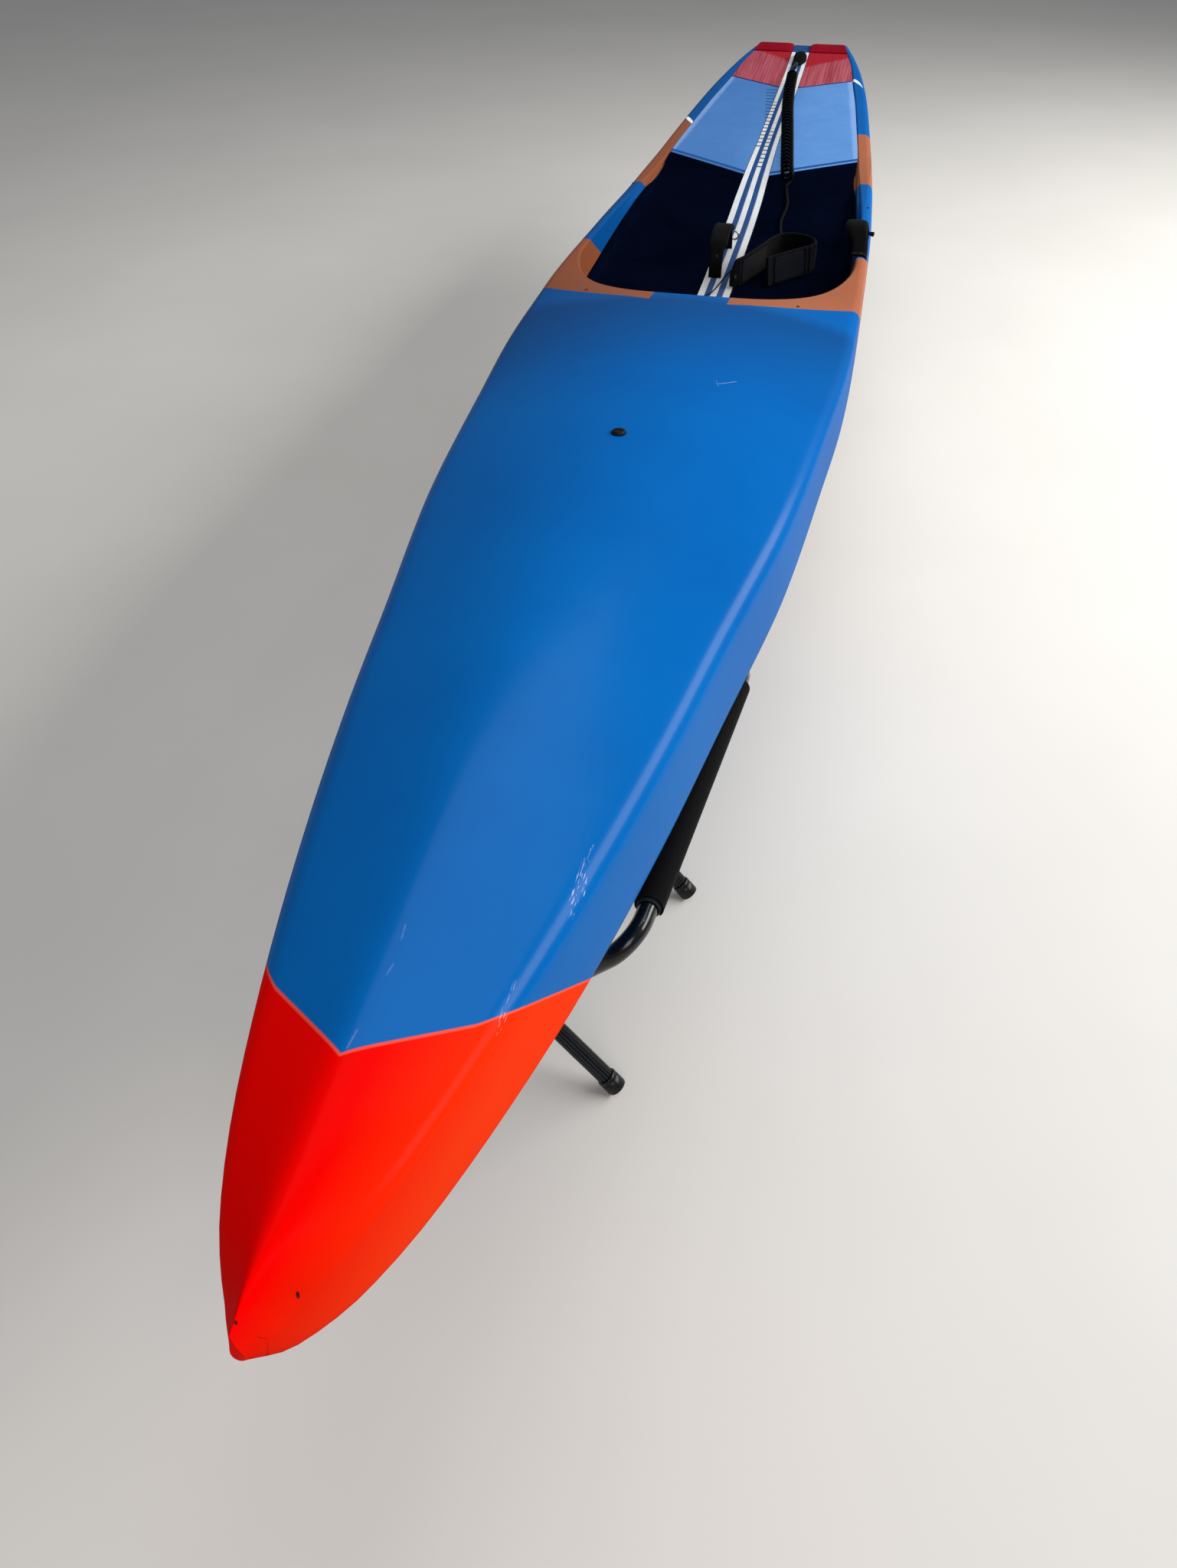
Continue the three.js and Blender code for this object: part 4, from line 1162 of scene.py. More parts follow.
urethane = plastic_finish("black_urethane", "010102", "020203", 0.3, 0.08, 200.0, 0.045)
black_plastic = plastic_finish("black_plastic", "020203", "0a0b0c", 0.45, gloss=0.15)
rubber = plastic_finish("rubber_foot", "050506", "121214", 0.3, 0.15)
steel = metal_finish("steel", "7d8084", "a9acb0", 0.34)
dark_steel = metal_finish("dark_steel", "1b1c1e", "3a3c3f", 0.3)
brass = metal_finish("brass", "33200f", "4a3018", 0.5)
aluminium = metal_finish("fluted_aluminium", "1c1d20", "34363a", 0.34, 0.85)
enamel = enamel_finish()
carbon = carbon_finish()
sleeve_foam = sleeve_foam_finish()
leash_cord.data.materials.append(urethane)
print("hard finishes:", [m.name for m in (urethane, black_plastic, rubber, steel, aluminium, enamel)])

# %% [markdown]
# ## Fittings that the shell carries
#
# The vent lets the shell breathe when it warms up: a low screw cap with a coin slot. The fin sits in
# its box out of sight. The tray's rim also has small brass inserts, where rack screws go. They
# are turned bodies, each drawn as one profile of radii and heights, and spun.

# %% Vent, fin and small screws
vent_base = under_middle("vent")
CAP_PROFILE = [(0.1, 0), (10.8, 0), (11, 0.6), (10.6, 1.8), (9.2, 2.4), (8.8, 3.4), (8, 3.9), (4, 4),
               (0.1, 4)]
vent = turned("vent_cap", CAP_PROFILE, vent_base, UP, black_plastic, ["vent"], 48)
slot_low = vent_base + Vector((-0.0011, -0.0065, 0.0022))
slot_high = vent_base + Vector((0.0011, 0.0065, 0.006))
carve(vent, [box_mesh("coin_slot", slot_low, slot_high)])

for node, finish in (("fin", carbon), ("fin_box", black_plastic), ("leash_plug", black_plastic)):
    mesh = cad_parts[node].data
    mesh.materials.clear()
    mesh.materials.append(finish)


def on_deck(s, y):
    return at(s, y, deck_height(s, y))


SCREWS = [(1954, -204), (1945, 195), (2752, 290), (2842, -286)]
SCREW_PROFILE = [(0.1, -1), (3.4, -1), (3.4, 0.3), (2.9, 0.7), (1.8, 0.9), (1.4, 0.3), (0.1, 0.2)]
for i, (s, y) in enumerate(SCREWS, 1):
    across = (on_deck(s, y + 2) - on_deck(s, y - 2)).normalized()
    ahead = (on_deck(s - 2, y) - on_deck(s + 2, y)).normalized()
    turned(f"rim_screw_{i}", SCREW_PROFILE, on_deck(s, y), ahead.cross(across), brass)
print("vent at", tuple(round(v, 3) for v in vent_base), "screws:", len(SCREWS))

# %% [markdown]
# ## The carry handle
#
# The loop in the tray is a strap with a padded grip around its middle. A bent bar would look like
# plastic. The strap here is a thin band on an arch, its section gets deeper and rounder towards the
# grip, and the grip carries a seam with stitches.

# %% Bands and seams
def band(name, path, across, width, thick, rounding=3.0, sides=20):
    """A strap with a squared oval section: width and thick give millimetres by the share of its path."""
    rows = []
    for i, p in enumerate(path):
        u = i / (len(path) - 1)
        along = heading(path, i)
        side = (across - along * across.dot(along)).normalized()
        out = side.cross(along).normalized()
        row = []
        for k in range(sides):
            a = 2 * math.pi * k / sides
            x, z = (math.copysign(abs(c) ** (2 / rounding), c) for c in (math.cos(a), math.sin(a)))
            row.append(p + side * (x * width(u) / 2000) + out * (z * thick(u) / 2000))
        rows.append(row)
    return skin(name, rows)


def sewn(name, lines, pitch=4.2, length=2.8, radius=0.45):
    """Rows of small thread bars along some lines, as one piece; pitch and length are in millimetres."""
    whole = bmesh.new()
    for line in lines:
        gone, due = 0.0, pitch / 2000
        for a, b in zip(line, line[1:]):
            step = (b - a).length
            while due <= gone + step and step > 0:
                middle = a + (b - a) * ((due - gone) / step)
                along = (b - a).normalized() * (length / 2000)
                bar = [middle + along * share for share in (-1, -0.5, 0.5, 1)]
                whole.from_mesh(sweep("bar", bar, [radius / 2, radius, radius, radius / 2], 6))
                due += pitch / 1000
            gone += step
    mesh = bpy.data.meshes.new(name)
    whole.to_mesh(mesh)
    whole.free()
    mesh.set_sharp_from_angle(angle=math.radians(40))
    return piece(name, mesh, urethane)


# %% Carry handle
HANDLE_FROM, HANDLE_TO, HANDLE_SIDE = 2360, 2548, -12
feet = [at(s, HANDLE_SIDE, pad_top(s) + 0.8) for s in (HANDLE_FROM, HANDLE_TO)]
lean_along = (feet[1] - feet[0]).normalized()
lean_up = lean_along.cross(PORT)
lean_up *= math.copysign(1, lean_up.z)
middle = (feet[0] + feet[1]) / 2
reach, height = lean_along * 0.0885, lean_up * 0.0945
arch = bezier(middle - reach, middle - reach + height, middle + reach + height, middle + reach, 81)


def grip(u):
    """How much of the padding a place on the strap has, by its share of the way."""
    return smoothstep(u, 0.21, 0.3) * smoothstep(1 - u, 0.17, 0.26)


def grip_width(u):
    return 28 + 11 * grip(u)


def grip_thickness(u):
    return 5.2 + 6 * grip(u)


def on_arch(i, side, lift):
    """A point over the arch: side is a share of the half width, lift millimetres over the strap's face."""
    out = heading(arch, i).cross(PORT)
    out *= math.copysign(1, out.dot(arch[i] - middle))
    u = i / 80
    return arch[i] + PORT * (side * grip_width(u) / 2000) + out * ((grip_thickness(u) / 2 + lift) / 1000)


handle = piece("carry_handle_loop", band("carry_handle", arch, PORT, grip_width, grip_thickness, 4.5, 32),
               webbing, ["carry_handle"])
seams = [[on_arch(i, side, -0.3) for i in range(23, 61)] for side in (-0.78, 0.78)]
seams += [[on_arch(i, side, 0.1) for side in np.linspace(-0.8, 0.8, 9)] for i in (16, 18, 65, 67)]
sewn("carry_handle_seams", seams)

RING_R, RING_WIRE = 0.0085, 0.0021
ring_middle = on_arch(76, 1.0, 0) + Vector((0, 0.004, 0.014))
ring_normal = PORT.cross(lean_up)
rows = []
for k in range(36):
    a = 2 * math.pi * k / 36
    out = PORT * math.cos(a) + lean_up * math.sin(a)
    rows.append(ring(ring_middle + out * RING_R, out, ring_normal, RING_WIRE, 12))
piece("carry_handle_ring", skin("carry_handle_ring", rows, loop=True), steel)

RIVET_PROFILE = [(0.1, -0.8), (3.4, -0.8), (3.4, 0.3), (2.6, 0.9), (0.1, 1.1)]
for i, (k, side) in enumerate(((13, 0.0), (77, 0.55)), 1):
    out = on_arch(k, 0, 1) - on_arch(k, 0, 0)
    turned(f"carry_handle_rivet_{i}", RIVET_PROFILE, on_arch(k, side, 0), out,
           black_plastic, sides=28)
print("handle spans", round(path_length(feet), 3), "m and stands", round(height.length * 0.75, 3), "m high")

# %% [markdown]
# ## The grab loop on the port rim
#
# A second padded loop sits on the port rim, where a hand grips the board to carry it on
# edge. Its two ends are plain webbing that lies on the rounded shoulder, so their undersides are read
# from the shoulder's curve. Between them the grip rises clear of the rim for the fingers.

# %% Side strap
STRAP_FROM, STRAP_TO, STRAP_RISE = 2344, 2500, 38


def rim_height(s, y):
    """The height of the rim's top and of its rounded shoulder, at a side near the port edge."""
    flat, side, depth = deck_edge(s)
    share = share_of(y, flat, side)
    return edge(s) - depth + depth * math.sqrt(1 - share * share)


def strap_point(u, v, top):
    """A point of the strap's upper or lower face: u runs aft, v outboard, full is the padding's share."""
    s = blend(STRAP_FROM, STRAP_TO, u)
    full = smoothstep(u, 0.12, 0.4) * smoothstep(1 - u, 0.12, 0.4)
    inset = blend(blend(22, 17, u), 35, full)
    width = blend(blend(33, 20, u), 46, full)
    y = half(s) - inset + v * width / 2
    arch_rise = STRAP_RISE * math.sin(math.pi * share_of(u, 0.1, 0.9)) ** 0.75
    under = blend(rim_height(s, y), edge(s), full) + 0.7 + arch_rise
    round_off = math.sqrt(max(0, 1 - abs(v) ** blend(8, 3.2, full)))
    part = 0.5 + 0.5 * round_off if top else (0.42 - 0.42 * round_off) * full
    return at(s, y, under + blend(4.4, 13.6, full) * part)


lower, upper = (grid_of(lambda u, v: strap_point(u, v, top), 49, 15) for top in (False, True))
strap = piece("side_strap_pad", slab("side_strap", lower, upper), webbing,
              ["side_strap"], 0.0007)
seams = [[row[k] + UP * 0.0001 for row in upper[9:40]] for k in (3, 11)]
seams += [[p + UP * 0.0002 for p in upper[k][1:14]] for k in (5, 43)]
sewn("side_strap_seams", seams)
HEAD_PROFILE = [(0.1, 0), (4.4, 0), (4.6, 0.6), (3.8, 1.7), (2.1, 2.1), (1.6, 1.1), (0.1, 1.1)]
for i, k in enumerate((2, 46), 1):
    out = (upper[k + 1][7] - upper[k - 1][7]).cross(upper[k][8] - upper[k][6]).normalized()
    out *= math.copysign(1, out.z)
    turned(f"side_strap_screw_{i}", HEAD_PROFILE, upper[k][7] - out * 0.0004, out,
           black_plastic)

# The strap's free end: distance from the nose, and how far out from and over the rim's edge it is.
TAIL_POINTS = [(2478, -24, 16), (2480, -15, 15), (2481, -6, 12.5), (2482, 3, 11)]
tail_line = through([at(s, half(2480) + out, edge(2480) + over) for s, out, over in TAIL_POINTS], 13)
tail = band("side_strap_tail", tail_line, AHEAD, lambda u: 11, lambda u: 4 + 4.5 * smoothstep(u, 0.5, 0.85))
piece("side_strap_tail", tail, webbing)
print("side strap:", STRAP_TO - STRAP_FROM, "mm long, its grip", STRAP_RISE, "mm over the rim")

# %% [markdown]
# ## The leash's ends
#
# At the tail, a doubled and padded piece of webbing loops through the plug's pin. It ends in a
# steel swivel that lets the coil turn. At the other end the cord is moulded into a padded ankle
# cuff of neoprene, closed with hook-and-loop tape. Those are separate pieces on the cord.

# %% Webbing and swivel at the tail
SAVER_FROM, SAVER_TO, SAVER_HALF = 4134, 4030, 20


def saver_place(u, half_width, lift):
    """A point of the webbing at a share of its way, which bows 7 mm to port in the middle."""
    s, bow = blend(SAVER_FROM, SAVER_TO, u), math.sin(math.pi * u)
    return at(s, half_width * (0.6 + 0.4 * bow) + 7 * bow, pad_top(s) + lift)


def saver_top(u, v):
    hump = 20 * math.sin(math.pi * u) * math.sqrt(max(0.02, 1 - 0.8 * abs(v) ** 2.4))
    return saver_place(u, SAVER_HALF * v, 5 + hump - 1.5 * abs(v) ** 6)


saver = slab("leash_webbing", grid_of(lambda u, v: saver_place(u, SAVER_HALF * v, 0.8), 25, 13),
             grid_of(saver_top, 25, 13))
saver = piece("leash_webbing_pad", saver, webbing, ["leash_webbing"], 0.001)
seam = [saver_place(u, 9, 5.1 + 19.3 * math.sin(math.pi * u)) for u in np.linspace(0.08, 0.92, 22)]
sewn("leash_webbing_seam", [seam], 4.5, 3)

SWIVEL_ENDS, SWIVEL_LIFT = (4029, 3976.3), 7.6
swivel_from, swivel_to = (at(s, 0, pad_top(s) + SWIVEL_LIFT) for s in SWIVEL_ENDS)
SWIVEL_PROFILE = [(0.1, 0), (3.5, 0), (4.2, 1), (4.2, 6), (6.2, 8), (7, 10), (7, 18), (6.2, 19.5),
                  (4.5, 20.5), (4.5, 23.5), (5.8, 24.5), (6.6, 26), (6.6, 36), (5.8, 40), (5.2, 48),
                  (4.8, 52), (4, 52.4), (0.1, 52.4)]
swivel = turned("leash_swivel_body", SWIVEL_PROFILE, swivel_from, swivel_to - swivel_from,
                dark_steel, ["leash_swivel"], 40)
print("swivel length", round((swivel_to - swivel_from).length, 4), "m")

# %% Ankle cuff
CUFF_S, CUFF_Y, CUFF_HEIGHT = 2425, 130, 60
CUFF_STEPS = 144
CUFF_ROUTE = [(2335, 101), (2361, 126.5), (2386, 150), (2410, 172), (2430, 188), (2448, 192.5), (2468, 186),
              (2483, 171), (2490.5, 152), (2492, 134), (2482, 113), (2455, 97), (2420, 84.5), (2384, 71.5),
              (2345, 56), (2320, 42), (2304, 29)]
cuff_ends = [at(s, 0, pad_top(s)) for s in (CUFF_S + 70, CUFF_S - 121)]
cuff_along = heading(cuff_ends, 0)
cuff_up = cuff_along.cross(PORT)
cuff_base = at(CUFF_S, CUFF_Y, pad_top(CUFF_S)) + UP * 0.001
cuff_line = through([cuff_base + cuff_along * ((CUFF_S - s) / 1000) + PORT * ((y - CUFF_Y) / 1000)
                     for s, y in CUFF_ROUTE], CUFF_STEPS + 1)


def cuff_point(u, out, height):
    """A point of the opened cuff: u runs to its tip, out and height are in millimetres."""
    place = min(u * CUFF_STEPS, CUFF_STEPS - 0.001)
    i = int(place)
    here = cuff_line[i].lerp(cuff_line[i + 1], place % 1)
    along = (cuff_line[min(i + 2, CUFF_STEPS)] - cuff_line[max(i - 1, 0)]).normalized()
    lean = -0.12 * (1 - smoothstep(u, 0.2, 0.32)) * (height - CUFF_HEIGHT / 2)
    return here + along.cross(cuff_up) * ((out + lean) / 1000) + cuff_up * (height / 1000)


def cuff_row(u):
    """A section of the strap on edge, swollen between two rounded hems; its tip is cut round."""
    hem, tip = 1.2, 5 * smoothstep(u, 0.955, 1.0) ** 2
    low, high = 0.4 + tip + hem, CUFF_HEIGHT - 0.4 - 4.8 * tip - hem
    wave = 0.35 * math.sin(u * 31) + 0.25 * math.sin(u * 57 + 1)
    thin = 1 - 0.35 * smoothstep(abs(u - 0.5), 0.485, 0.5)
    row = []
    for side, start, end, fat in ((1, 0, 1, 1), (-1, 1, 0, 0.8)):
        for t in np.linspace(start, end, 15):
            swell = 2.4 + 1.5 * math.sin(math.pi * t) ** 0.6 * fat
            out = side * swell * thin + wave * math.sin(math.pi * t)
            row.append(cuff_point(u, out, blend(low, high, t)))
        for a in (0.25, 0.5, 0.75):
            rim = blend(low, high, end) + side * hem * math.sin(math.pi * a)
            row.append(cuff_point(u, side * 2.4 * math.cos(math.pi * a) * thin, rim))
    return row


def cuff_patch(name, start, end, low, high, out, thick):
    """A layer sewn on a face of the cuff: out is its distance from the middle, thick goes outwards."""
    section = ((out, low), (out + thick, low + 0.5), (out + thick, high - 0.5), (out, high))
    steps = max(4, round((end - start) * 160))
    return skin(name, [[cuff_point(u, r, h) for r, h in section] for u in np.linspace(start, end, steps)])


cuff_mesh = skin("leash_cuff", [cuff_row(u) for u in np.linspace(0, 1, CUFF_STEPS + 1)])
cuff = piece("leash_cuff_band", cuff_mesh, neoprene, ["leash_cuff"])
CUFF_LAYERS = [
    # name, first and last share of the way, lowest and highest height, distance, thickness, finish
    ("panel", 0.045, 0.222, 5, 55, 3.2, 1.7, cuff_panel),
    ("hem", 0.004, 0.03, 2, 58, 2.4, 1.9, cuff_panel),
    ("rib_1", 0.236, 0.247, 3, 57, 3.0, 1.9, cuff_panel),
    ("rib_2", 0.262, 0.279, 3, 57, 3.0, 1.9, cuff_panel),
    ("closure", 0.70, 0.93, 7, 53, -3.2, -1.5, loop_tape),
    ("binding", 0.945, 0.956, 3, 56, -2.4, -2.2, webbing),
]
for layer, *sizes, finish in CUFF_LAYERS:
    piece("leash_cuff_" + layer, cuff_patch("leash_cuff_" + layer, *sizes), finish)
seams = [[cuff_point(u, out, height) for u in np.linspace(0.01, 0.94, 160)]
         for out, height in ((3.5, 4.6), (3.5, 55.4), (-3.2, 55.4))]
sewn("leash_cuff_seams", seams, 5, 3.4, 0.4)

# %% Small parts of the cuff, and the cord's declaration
EYELET_PROFILE = [(1.8, -0.6), (4.2, -0.6), (4.4, 0.6), (3.6, 1.4), (2.6, 1.3), (1.8, 0.4), (1.8, -0.6)]
eyelet_out = cuff_point(0.972, -4, 24) - cuff_point(0.972, 0, 24)
turned("leash_cuff_eyelet", EYELET_PROFILE, cuff_point(0.972, -2.6, 24), eyelet_out, steel)
# The pull tab's cord: distance from the nose, side, height over the pads.
PULL_ROUTE = [(2293, 18, 29), (2283, 7, 15), (2272, -4, 4), (2258, -14, 1.4), (2240, -22, 1.2)]
pull_line = [cuff_point(0.975, 0.5, 41), cuff_point(0.998, 0.5, 38)]
pull_line += [at(s, y, pad_top(s) + lift) for s, y, lift in PULL_ROUTE]
pull = band("leash_cuff_pull", through(pull_line, 40), Vector((0.6, 0.6, 0)),
            lambda u: 3.6, lambda u: 1.4, sides=14)
piece("leash_cuff_pull", pull, webbing)
cord_end = cord_line[-1]
BOOT_PROFILE = [(3.4, 0), (4.3, 0), (4.3, 3), (4, 3.5), (4, 5.5), (4.2, 6), (4.2, 9), (3.9, 9.5), (3.9, 12),
                (4, 12.5), (3.9, 18), (3.6, 24), (3.4, 24)]
boot = turned("leash_cuff_boot", BOOT_PROFILE, cord_end, cord_line[-4] - cord_end, black_plastic,
              sides=28)
print("cuff strap", round(path_length(cuff_line), 3), "m long; the cord ends",
      round(min((cord_end - p).length for p in cuff_line) * 1000), "mm from its middle layer")

# %% [markdown]
# ## The folding stands
#
# Each stand is two U-shaped frames that cross on one rod, so it opens like scissors. The
# upper tube is black enamel, its bar wears a foam sleeve, the legs below are ribbed aluminium with
# rubber feet, and a sling hangs between the bars for the board to rest on. The solids give the angles.
# Here the tubes get round bends, the legs get real flutes, and the sling gets sewn loops.

# %% Stand shapes
BAR_HEIGHT, BAR_HALF, FOOT_HALF = 417, 208, 174
WIDE, NARROW, BEND, SLEEVE_INSET = 284, 196, 43, 59
TUBE_R, LEG_R, SLEEVE_R, ROD_R = 12, 12.5, 15.5, 5
JOINT, CAP = 0.33, 34
STANDS = [("front", 876, -15, -5.9), ("rear", 3020, 0, 0)]
PIVOT_HEIGHT = BAR_HEIGHT * FOOT_HALF / (BAR_HALF + FOOT_HALF)


def leg_point(u, side, t):
    """A point on a frame's leg in millimetres: t is 0 at the bar and 1 at the floor."""
    return Vector((u, side * (BAR_HALF - (BAR_HALF + FOOT_HALF) * t), BAR_HEIGHT * (1 - t)))


def leg_direction(side):
    return (leg_point(0, side, 1) - leg_point(0, side, 0)).normalized()


leg_length = (leg_point(0, 1, 1) - leg_point(0, 1, 0)).length


def stand_place(s, y, turn):
    """The move from a stand's own millimetres to its place under the board in metres."""
    move = Matrix.Translation(Vector(((LENGTH / 2 - s) / 1000, y / 1000, 0)))
    return move @ Matrix.Rotation(math.radians(turn), 4, "Z") @ Matrix.Scale(0.001, 4)


def frame_line(width, side):
    """The tube's line: up one leg, round a bend, along the bar, round a bend and down the other leg."""
    share, flat = BEND / leg_length, width - BEND
    corner = [leg_point(-width, side, share), leg_point(-width, side, share * (1 - CIRCLE)),
              leg_point(-(width - BEND * (1 - CIRCLE)), side, 0), leg_point(-flat, side, 0)]
    bend = bezier(*corner, 13)
    line = [leg_point(-width, side, t) for t in np.linspace(JOINT, share, 6)] + bend[1:]
    line += [leg_point(u, side, 0) for u in np.linspace(-flat, flat, 9)][1:]
    line += [Vector((-p.x, p.y, p.z)) for p in reversed(bend)][1:]
    return line + [leg_point(width, side, t) for t in np.linspace(share, JOINT, 6)][1:]


def fluted_leg(name, u, side, place):
    """A ribbed leg with sixteen flutes, and a plain collar at its upper end."""
    outer = leg_direction(side).cross(AHEAD)
    start, stop = JOINT + CLEAR / leg_length, 1 - (CAP + CLEAR) / leg_length
    rows = []
    for t in (0, 0.004, 0.006, 0.03, 0.034, 0.5, 0.994, 1):
        depth = 0 if t < 0.032 else 1.3
        size = LEG_R - (0.5 if t in (0, 1) else 0)
        row = ring(leg_point(u, side, blend(start, stop, t)), AHEAD, outer,
                   lambda a: size - depth * max(0, math.cos(16 * a + math.pi)) ** 0.6, 64)
        rows.append([place @ p for p in row])
    return skin(name, rows)


def foot_mesh(name, u, side, place):
    """A rubber foot with a rolled collar, cut square, with its lower edge worn level with the floor."""
    direction = leg_direction(side)
    outer = direction.cross(AHEAD)
    rows = []
    for back, r in ((CAP, 12.9), (CAP - 0.6, 14), (CAP - 2, 14.5), (CAP - 4.5, 14.5), (CAP - 5.2, 13.7),
                    (CAP - 7, 13.6), (CAP - 7.8, 14.3), (CAP / 2, 14.5),
                    (10, 14.5), (8.6, 14.1), (8, 13.2)):
        row = ring(leg_point(u, side, 1) - direction * back, AHEAD, outer, r, 40)
        rows.append([place @ Vector((p.x, p.y, max(p.z, 0.4))) for p in row])
    return skin(name, rows)


def sleeve_mesh(name, bar, side, place):
    """A foam sleeve on the bar with soft ends and a few dents from use."""
    rows = []
    for k, u in enumerate(np.linspace(-bar, bar, 61)):
        end = min(k, 60 - k)
        dent = (1.2, 0.35)[end] if end < 2 else 0.35 * (1 + math.sin(u * 0.09 + side))
        rows.append(ring(leg_point(u, side, 0), PORT, UP, SLEEVE_R - dent, 40))
    rows += [ring(leg_point(u, side, 0), PORT, UP, TUBE_R + CLEAR, 40) for u in (bar, 0, -bar)]
    return skin(name, [[place @ p for p in row] for row in rows], loop=True)


# %% Slings
SLING_REACH = (SLEEVE_R + 2.3) * math.sqrt(0.5)


def sling_point(u, v, stand, lift):
    """The underside of a sling: u runs from port bar to starboard bar, v from front edge to back edge."""
    _, s, y0, turn = stand
    radians = math.radians(turn)
    across = (BAR_HALF - SLING_REACH) * (1 - 2 * u)
    along = (blend(NARROW, WIDE, 1 - u) - SLEEVE_INSET - 3) * (1 - 2 * v)
    x = along * math.cos(radians) - across * math.sin(radians)
    y = y0 + along * math.sin(radians) + across * math.cos(radians)
    lowest = RIM + hull_bottom(s - x, 0) - CLEAR
    taut = lowest + (BAR_HEIGHT + SLING_REACH - lowest) * abs(1 - 2 * u) ** 1.3
    bottom = RIM + hull_bottom(s - x, y) - CLEAR
    return Vector((along, across, min(taut, bottom) - 3 + lift))


def sling_grid(stand, place, rows, columns, lift, hem=0.0):
    """A grid of a sling's points in metres; hem is how much thicker its two edges are."""
    def point(u, v):
        inside = 0.03 < v < 0.97
        return place @ sling_point(u, v, stand, lift if inside else lift + hem)

    return grid_of(point, rows, columns, 0)


def sling_loop(name, side, place):
    """The sling's end, wrapped round the foam sleeve and sewn back on itself."""
    width = (WIDE if side > 0 else NARROW) - SLEEVE_INSET - 3.5
    turns = np.radians(np.linspace(-38, 232, 31))
    section = [(SLEEVE_R + 2.2, a) for a in turns] + [(SLEEVE_R + 0.5, a) for a in turns[::-1]]
    offsets = [Vector((0, side * r * math.cos(a), r * math.sin(a))) for r, a in section]
    middles = [leg_point(u, side, 0) for u in np.linspace(-width, width, 25)]
    return skin(name, [[place @ (middle + offset) for offset in offsets] for middle in middles])


def area_of(grid):
    """The area of a grid of points."""
    total = 0
    for r0, r1 in zip(grid, grid[1:]):
        for a, b, c, d in zip(r0, r0[1:], r1[1:], r1):
            total += (b - a).cross(c - a).length / 2 + (c - a).cross(d - a).length / 2
    return total


# %% Frames in place
def dress_leg(stem, end, u, side, place):
    """One leg with its flutes, its foot and the collar over its joint."""
    leg = piece(f"{stem}_ribbed_leg_{end}", fluted_leg(stem + "_leg", u, side, place),
                aluminium, [f"{stem}_leg_{end}"])
    bore_line = [place @ Vector((u + x, 0, PIVOT_HEIGHT)) for x in (-30, 0, 30)]
    carve(leg, [sweep("bore", bore_line, ROD_R + CLEAR, 24)])
    piece(f"{stem}_rubber_foot_{end}", foot_mesh(stem + "_foot", u, side, place),
          rubber, [f"{stem}_foot_{end}"])
    shares = [blend(JOINT - 16 / leg_length, JOINT - 0.6 / leg_length, t) for t in (0, 0.06, 0.5, 0.94, 1)]
    collar_line = [place @ leg_point(u, side, t) for t in shares]
    piece(f"{stem}_collar_{end}", sweep("collar", collar_line, (12.2, 13.2, 13.4, 13.2, 12.2), 32),
          black_plastic)


def dress_frame(stem, width, side, place):
    """One U-shaped frame: its tube, the sleeve on its bar, and its two legs."""
    tube_line = [place @ p for p in frame_line(width, side)]
    piece(stem + "_bent_tube", sweep(stem + "_tube", tube_line, TUBE_R, 28), enamel,
          [stem + "_tube"])
    sleeve = piece(stem + "_sleeve", sleeve_mesh(stem + "_foam", width - SLEEVE_INSET, side, place),
                   sleeve_foam, [stem + "_foam"])
    for end, sign in (("front", 1), ("rear", -1)):
        dress_leg(stem, end, sign * width, side, place)


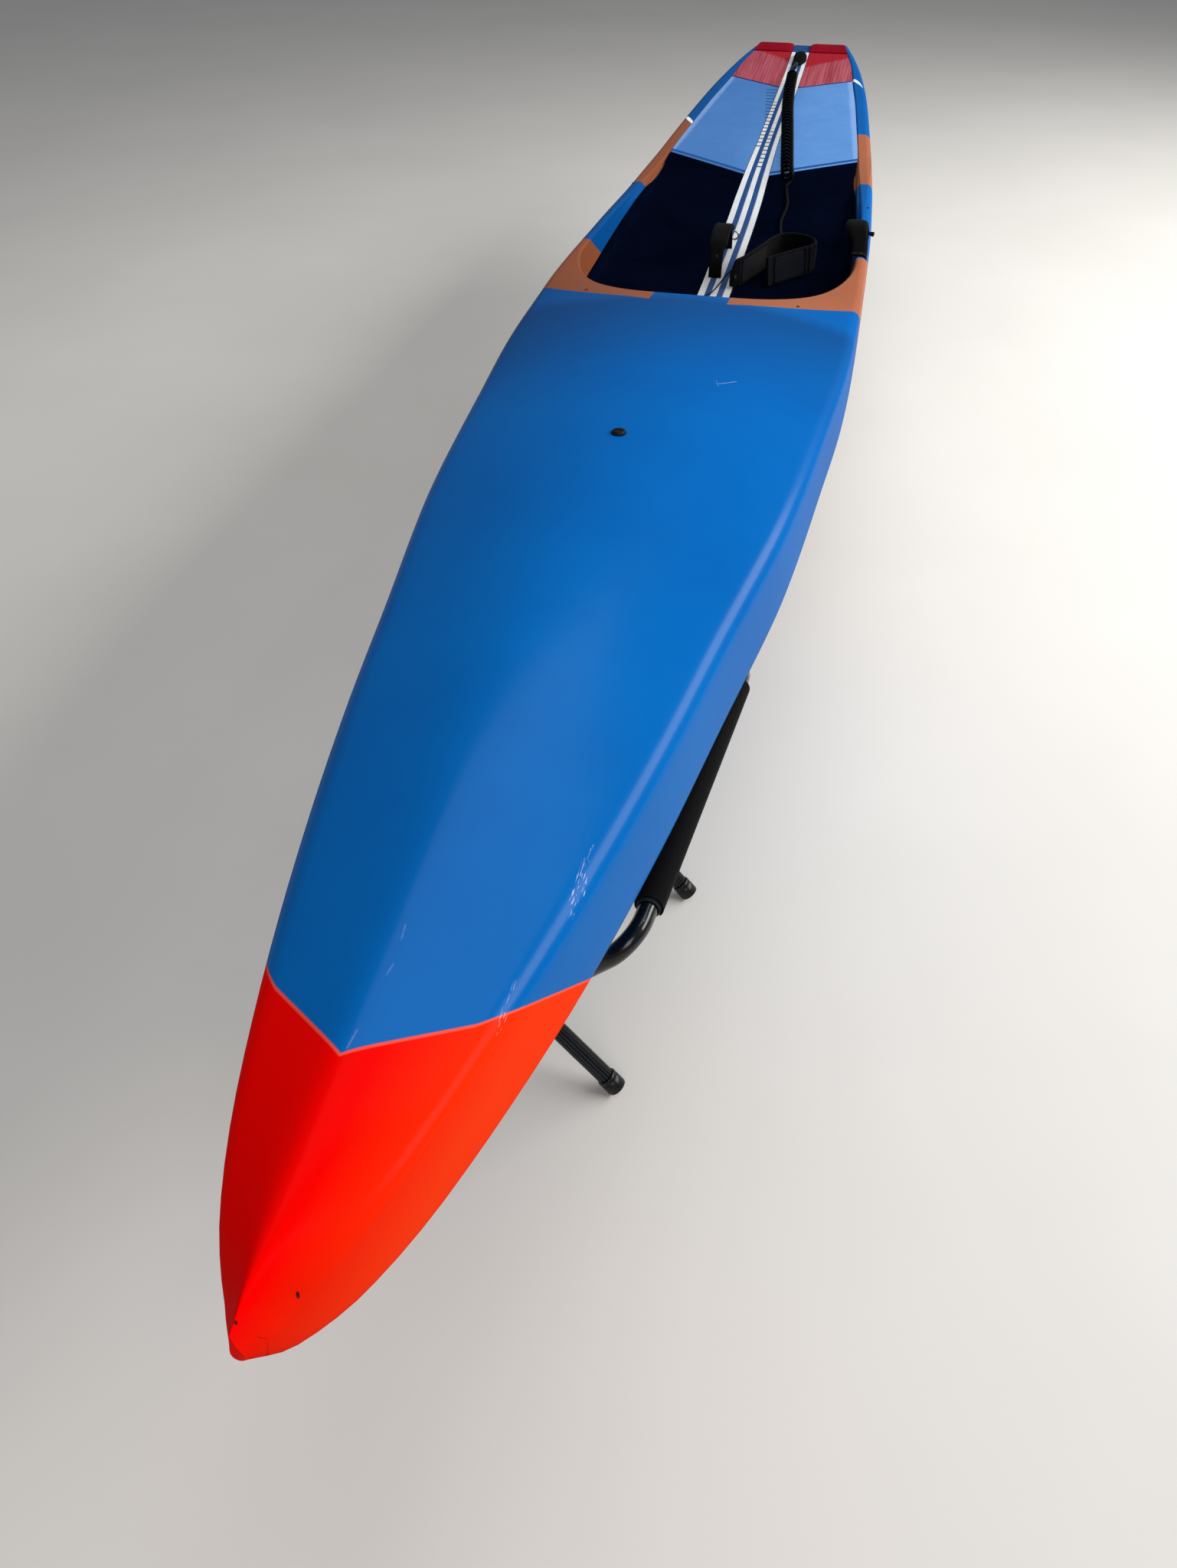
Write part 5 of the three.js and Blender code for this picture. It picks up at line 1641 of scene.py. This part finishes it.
# %% Stands in place
ROD_POINTS = (-WIDE - 22, -WIDE - 20.8, 0, WIDE + 20.8, WIDE + 22)
ROD_RADII = (ROD_R - 0.8, ROD_R, ROD_R, ROD_R, ROD_R - 0.8)
for stand in STANDS:
    stem = stand[0] + "_stand"
    place = stand_place(*stand[1:])
    for frame_name, width, side in (("wide", WIDE, 1), ("narrow", NARROW, -1)):
        dress_frame(f"{stem}_{frame_name}", width, side, place)
    rod_line = [place @ Vector((x, 0, PIVOT_HEIGHT)) for x in ROD_POINTS]
    piece(stem + "_rod", sweep("pivot", rod_line, ROD_RADII, 28), steel, [stem + "_pivot"])
    cloth = slab("sling", sling_grid(stand, place, 49, 25, 0.2), sling_grid(stand, place, 49, 25, 2.3, 0.5))
    sling = piece(stem + "_sling_cloth", cloth, webbing, [stem + "_sling"])
    loops = [piece(f"{stem}_sling_loop_{side_name}", sling_loop("sling_loop", side, place),
                   webbing) for side_name, side in SIDES]
    flat = sling_grid(stand, place, 33, 9, 0)
    long_way = path_length([row[4] for row in flat])
    sling_size = (round(area_of(flat) / long_way, 3), round(long_way, 3))
    print(stand[0], "stand: sling", sling_size[0], "by", sling_size[1], "m")

# %% [markdown]
# ## Floor and light
#
# The floor is plain and pale. In the photograph soft daylight comes from the board's port side,
# which draws a bright line along the port shoulder and leaves the starboard face of the foredeck
# darker. Large area lights give that without hard shadows.

# %% Floor and lights
def floor_finish():
    f = Finish("studio_floor", Roughness=0.85)
    return f.set(Base_Color=f.place.noise(1.5, 3.0).mix("d3cfc8", "dedad4")).material


floor_mesh = bpy.data.meshes.new("studio_floor")
floor_mesh.from_pydata([(-12, -12, 0), (12, -12, 0), (12, 12, 0), (-12, 12, 0)], [], [(0, 1, 2, 3)])
floor_mesh.materials.append(floor_finish())
studio = bpy.data.objects.new("studio_floor", floor_mesh)
bpy.context.scene.collection.objects.link(studio)

LIGHTS = [
    # name, place, aim, width, depth, power
    ("window", (-1.2, 3.2, 2.5), (-1.2, 0.0, 0.6), 6.4, 1.3, 230),
    ("ceiling", (-0.6, 0.4, 4.2), (-0.4, 0.0, 0.6), 4.0, 3.0, 70),
    ("nose_fill", (4.6, 1.0, 2.8), (1.2, 0.0, 0.5), 2.0, 2.0, 40),
]
for name, spot_at, aim, width, depth, power in LIGHTS:
    light = bpy.data.lights.new(name, "AREA")
    light.shape = "RECTANGLE"
    light.size = width
    light.size_y = depth
    light.energy = power
    lamp = bpy.data.objects.new(name, light)
    lamp.location = spot_at
    lamp.rotation_euler = (Vector(aim) - Vector(spot_at)).to_track_quat("-Z", "Y").to_euler()
    bpy.context.scene.collection.objects.link(lamp)
world = bpy.data.worlds.new("studio")
world.use_nodes = True
backdrop = world.node_tree.nodes["Background"]
backdrop.inputs["Color"].default_value = (0.72, 0.76, 0.82, 1)
backdrop.inputs["Strength"].default_value = 0.3
bpy.context.scene.world = world
bpy.context.scene.view_settings.view_transform = "Standard"
print("lights:", [row[0] for row in LIGHTS])

# %% [markdown]
# ## The end
#
# Last, the view layer is brought up to date.

# %% Finish
bpy.context.view_layer.update()
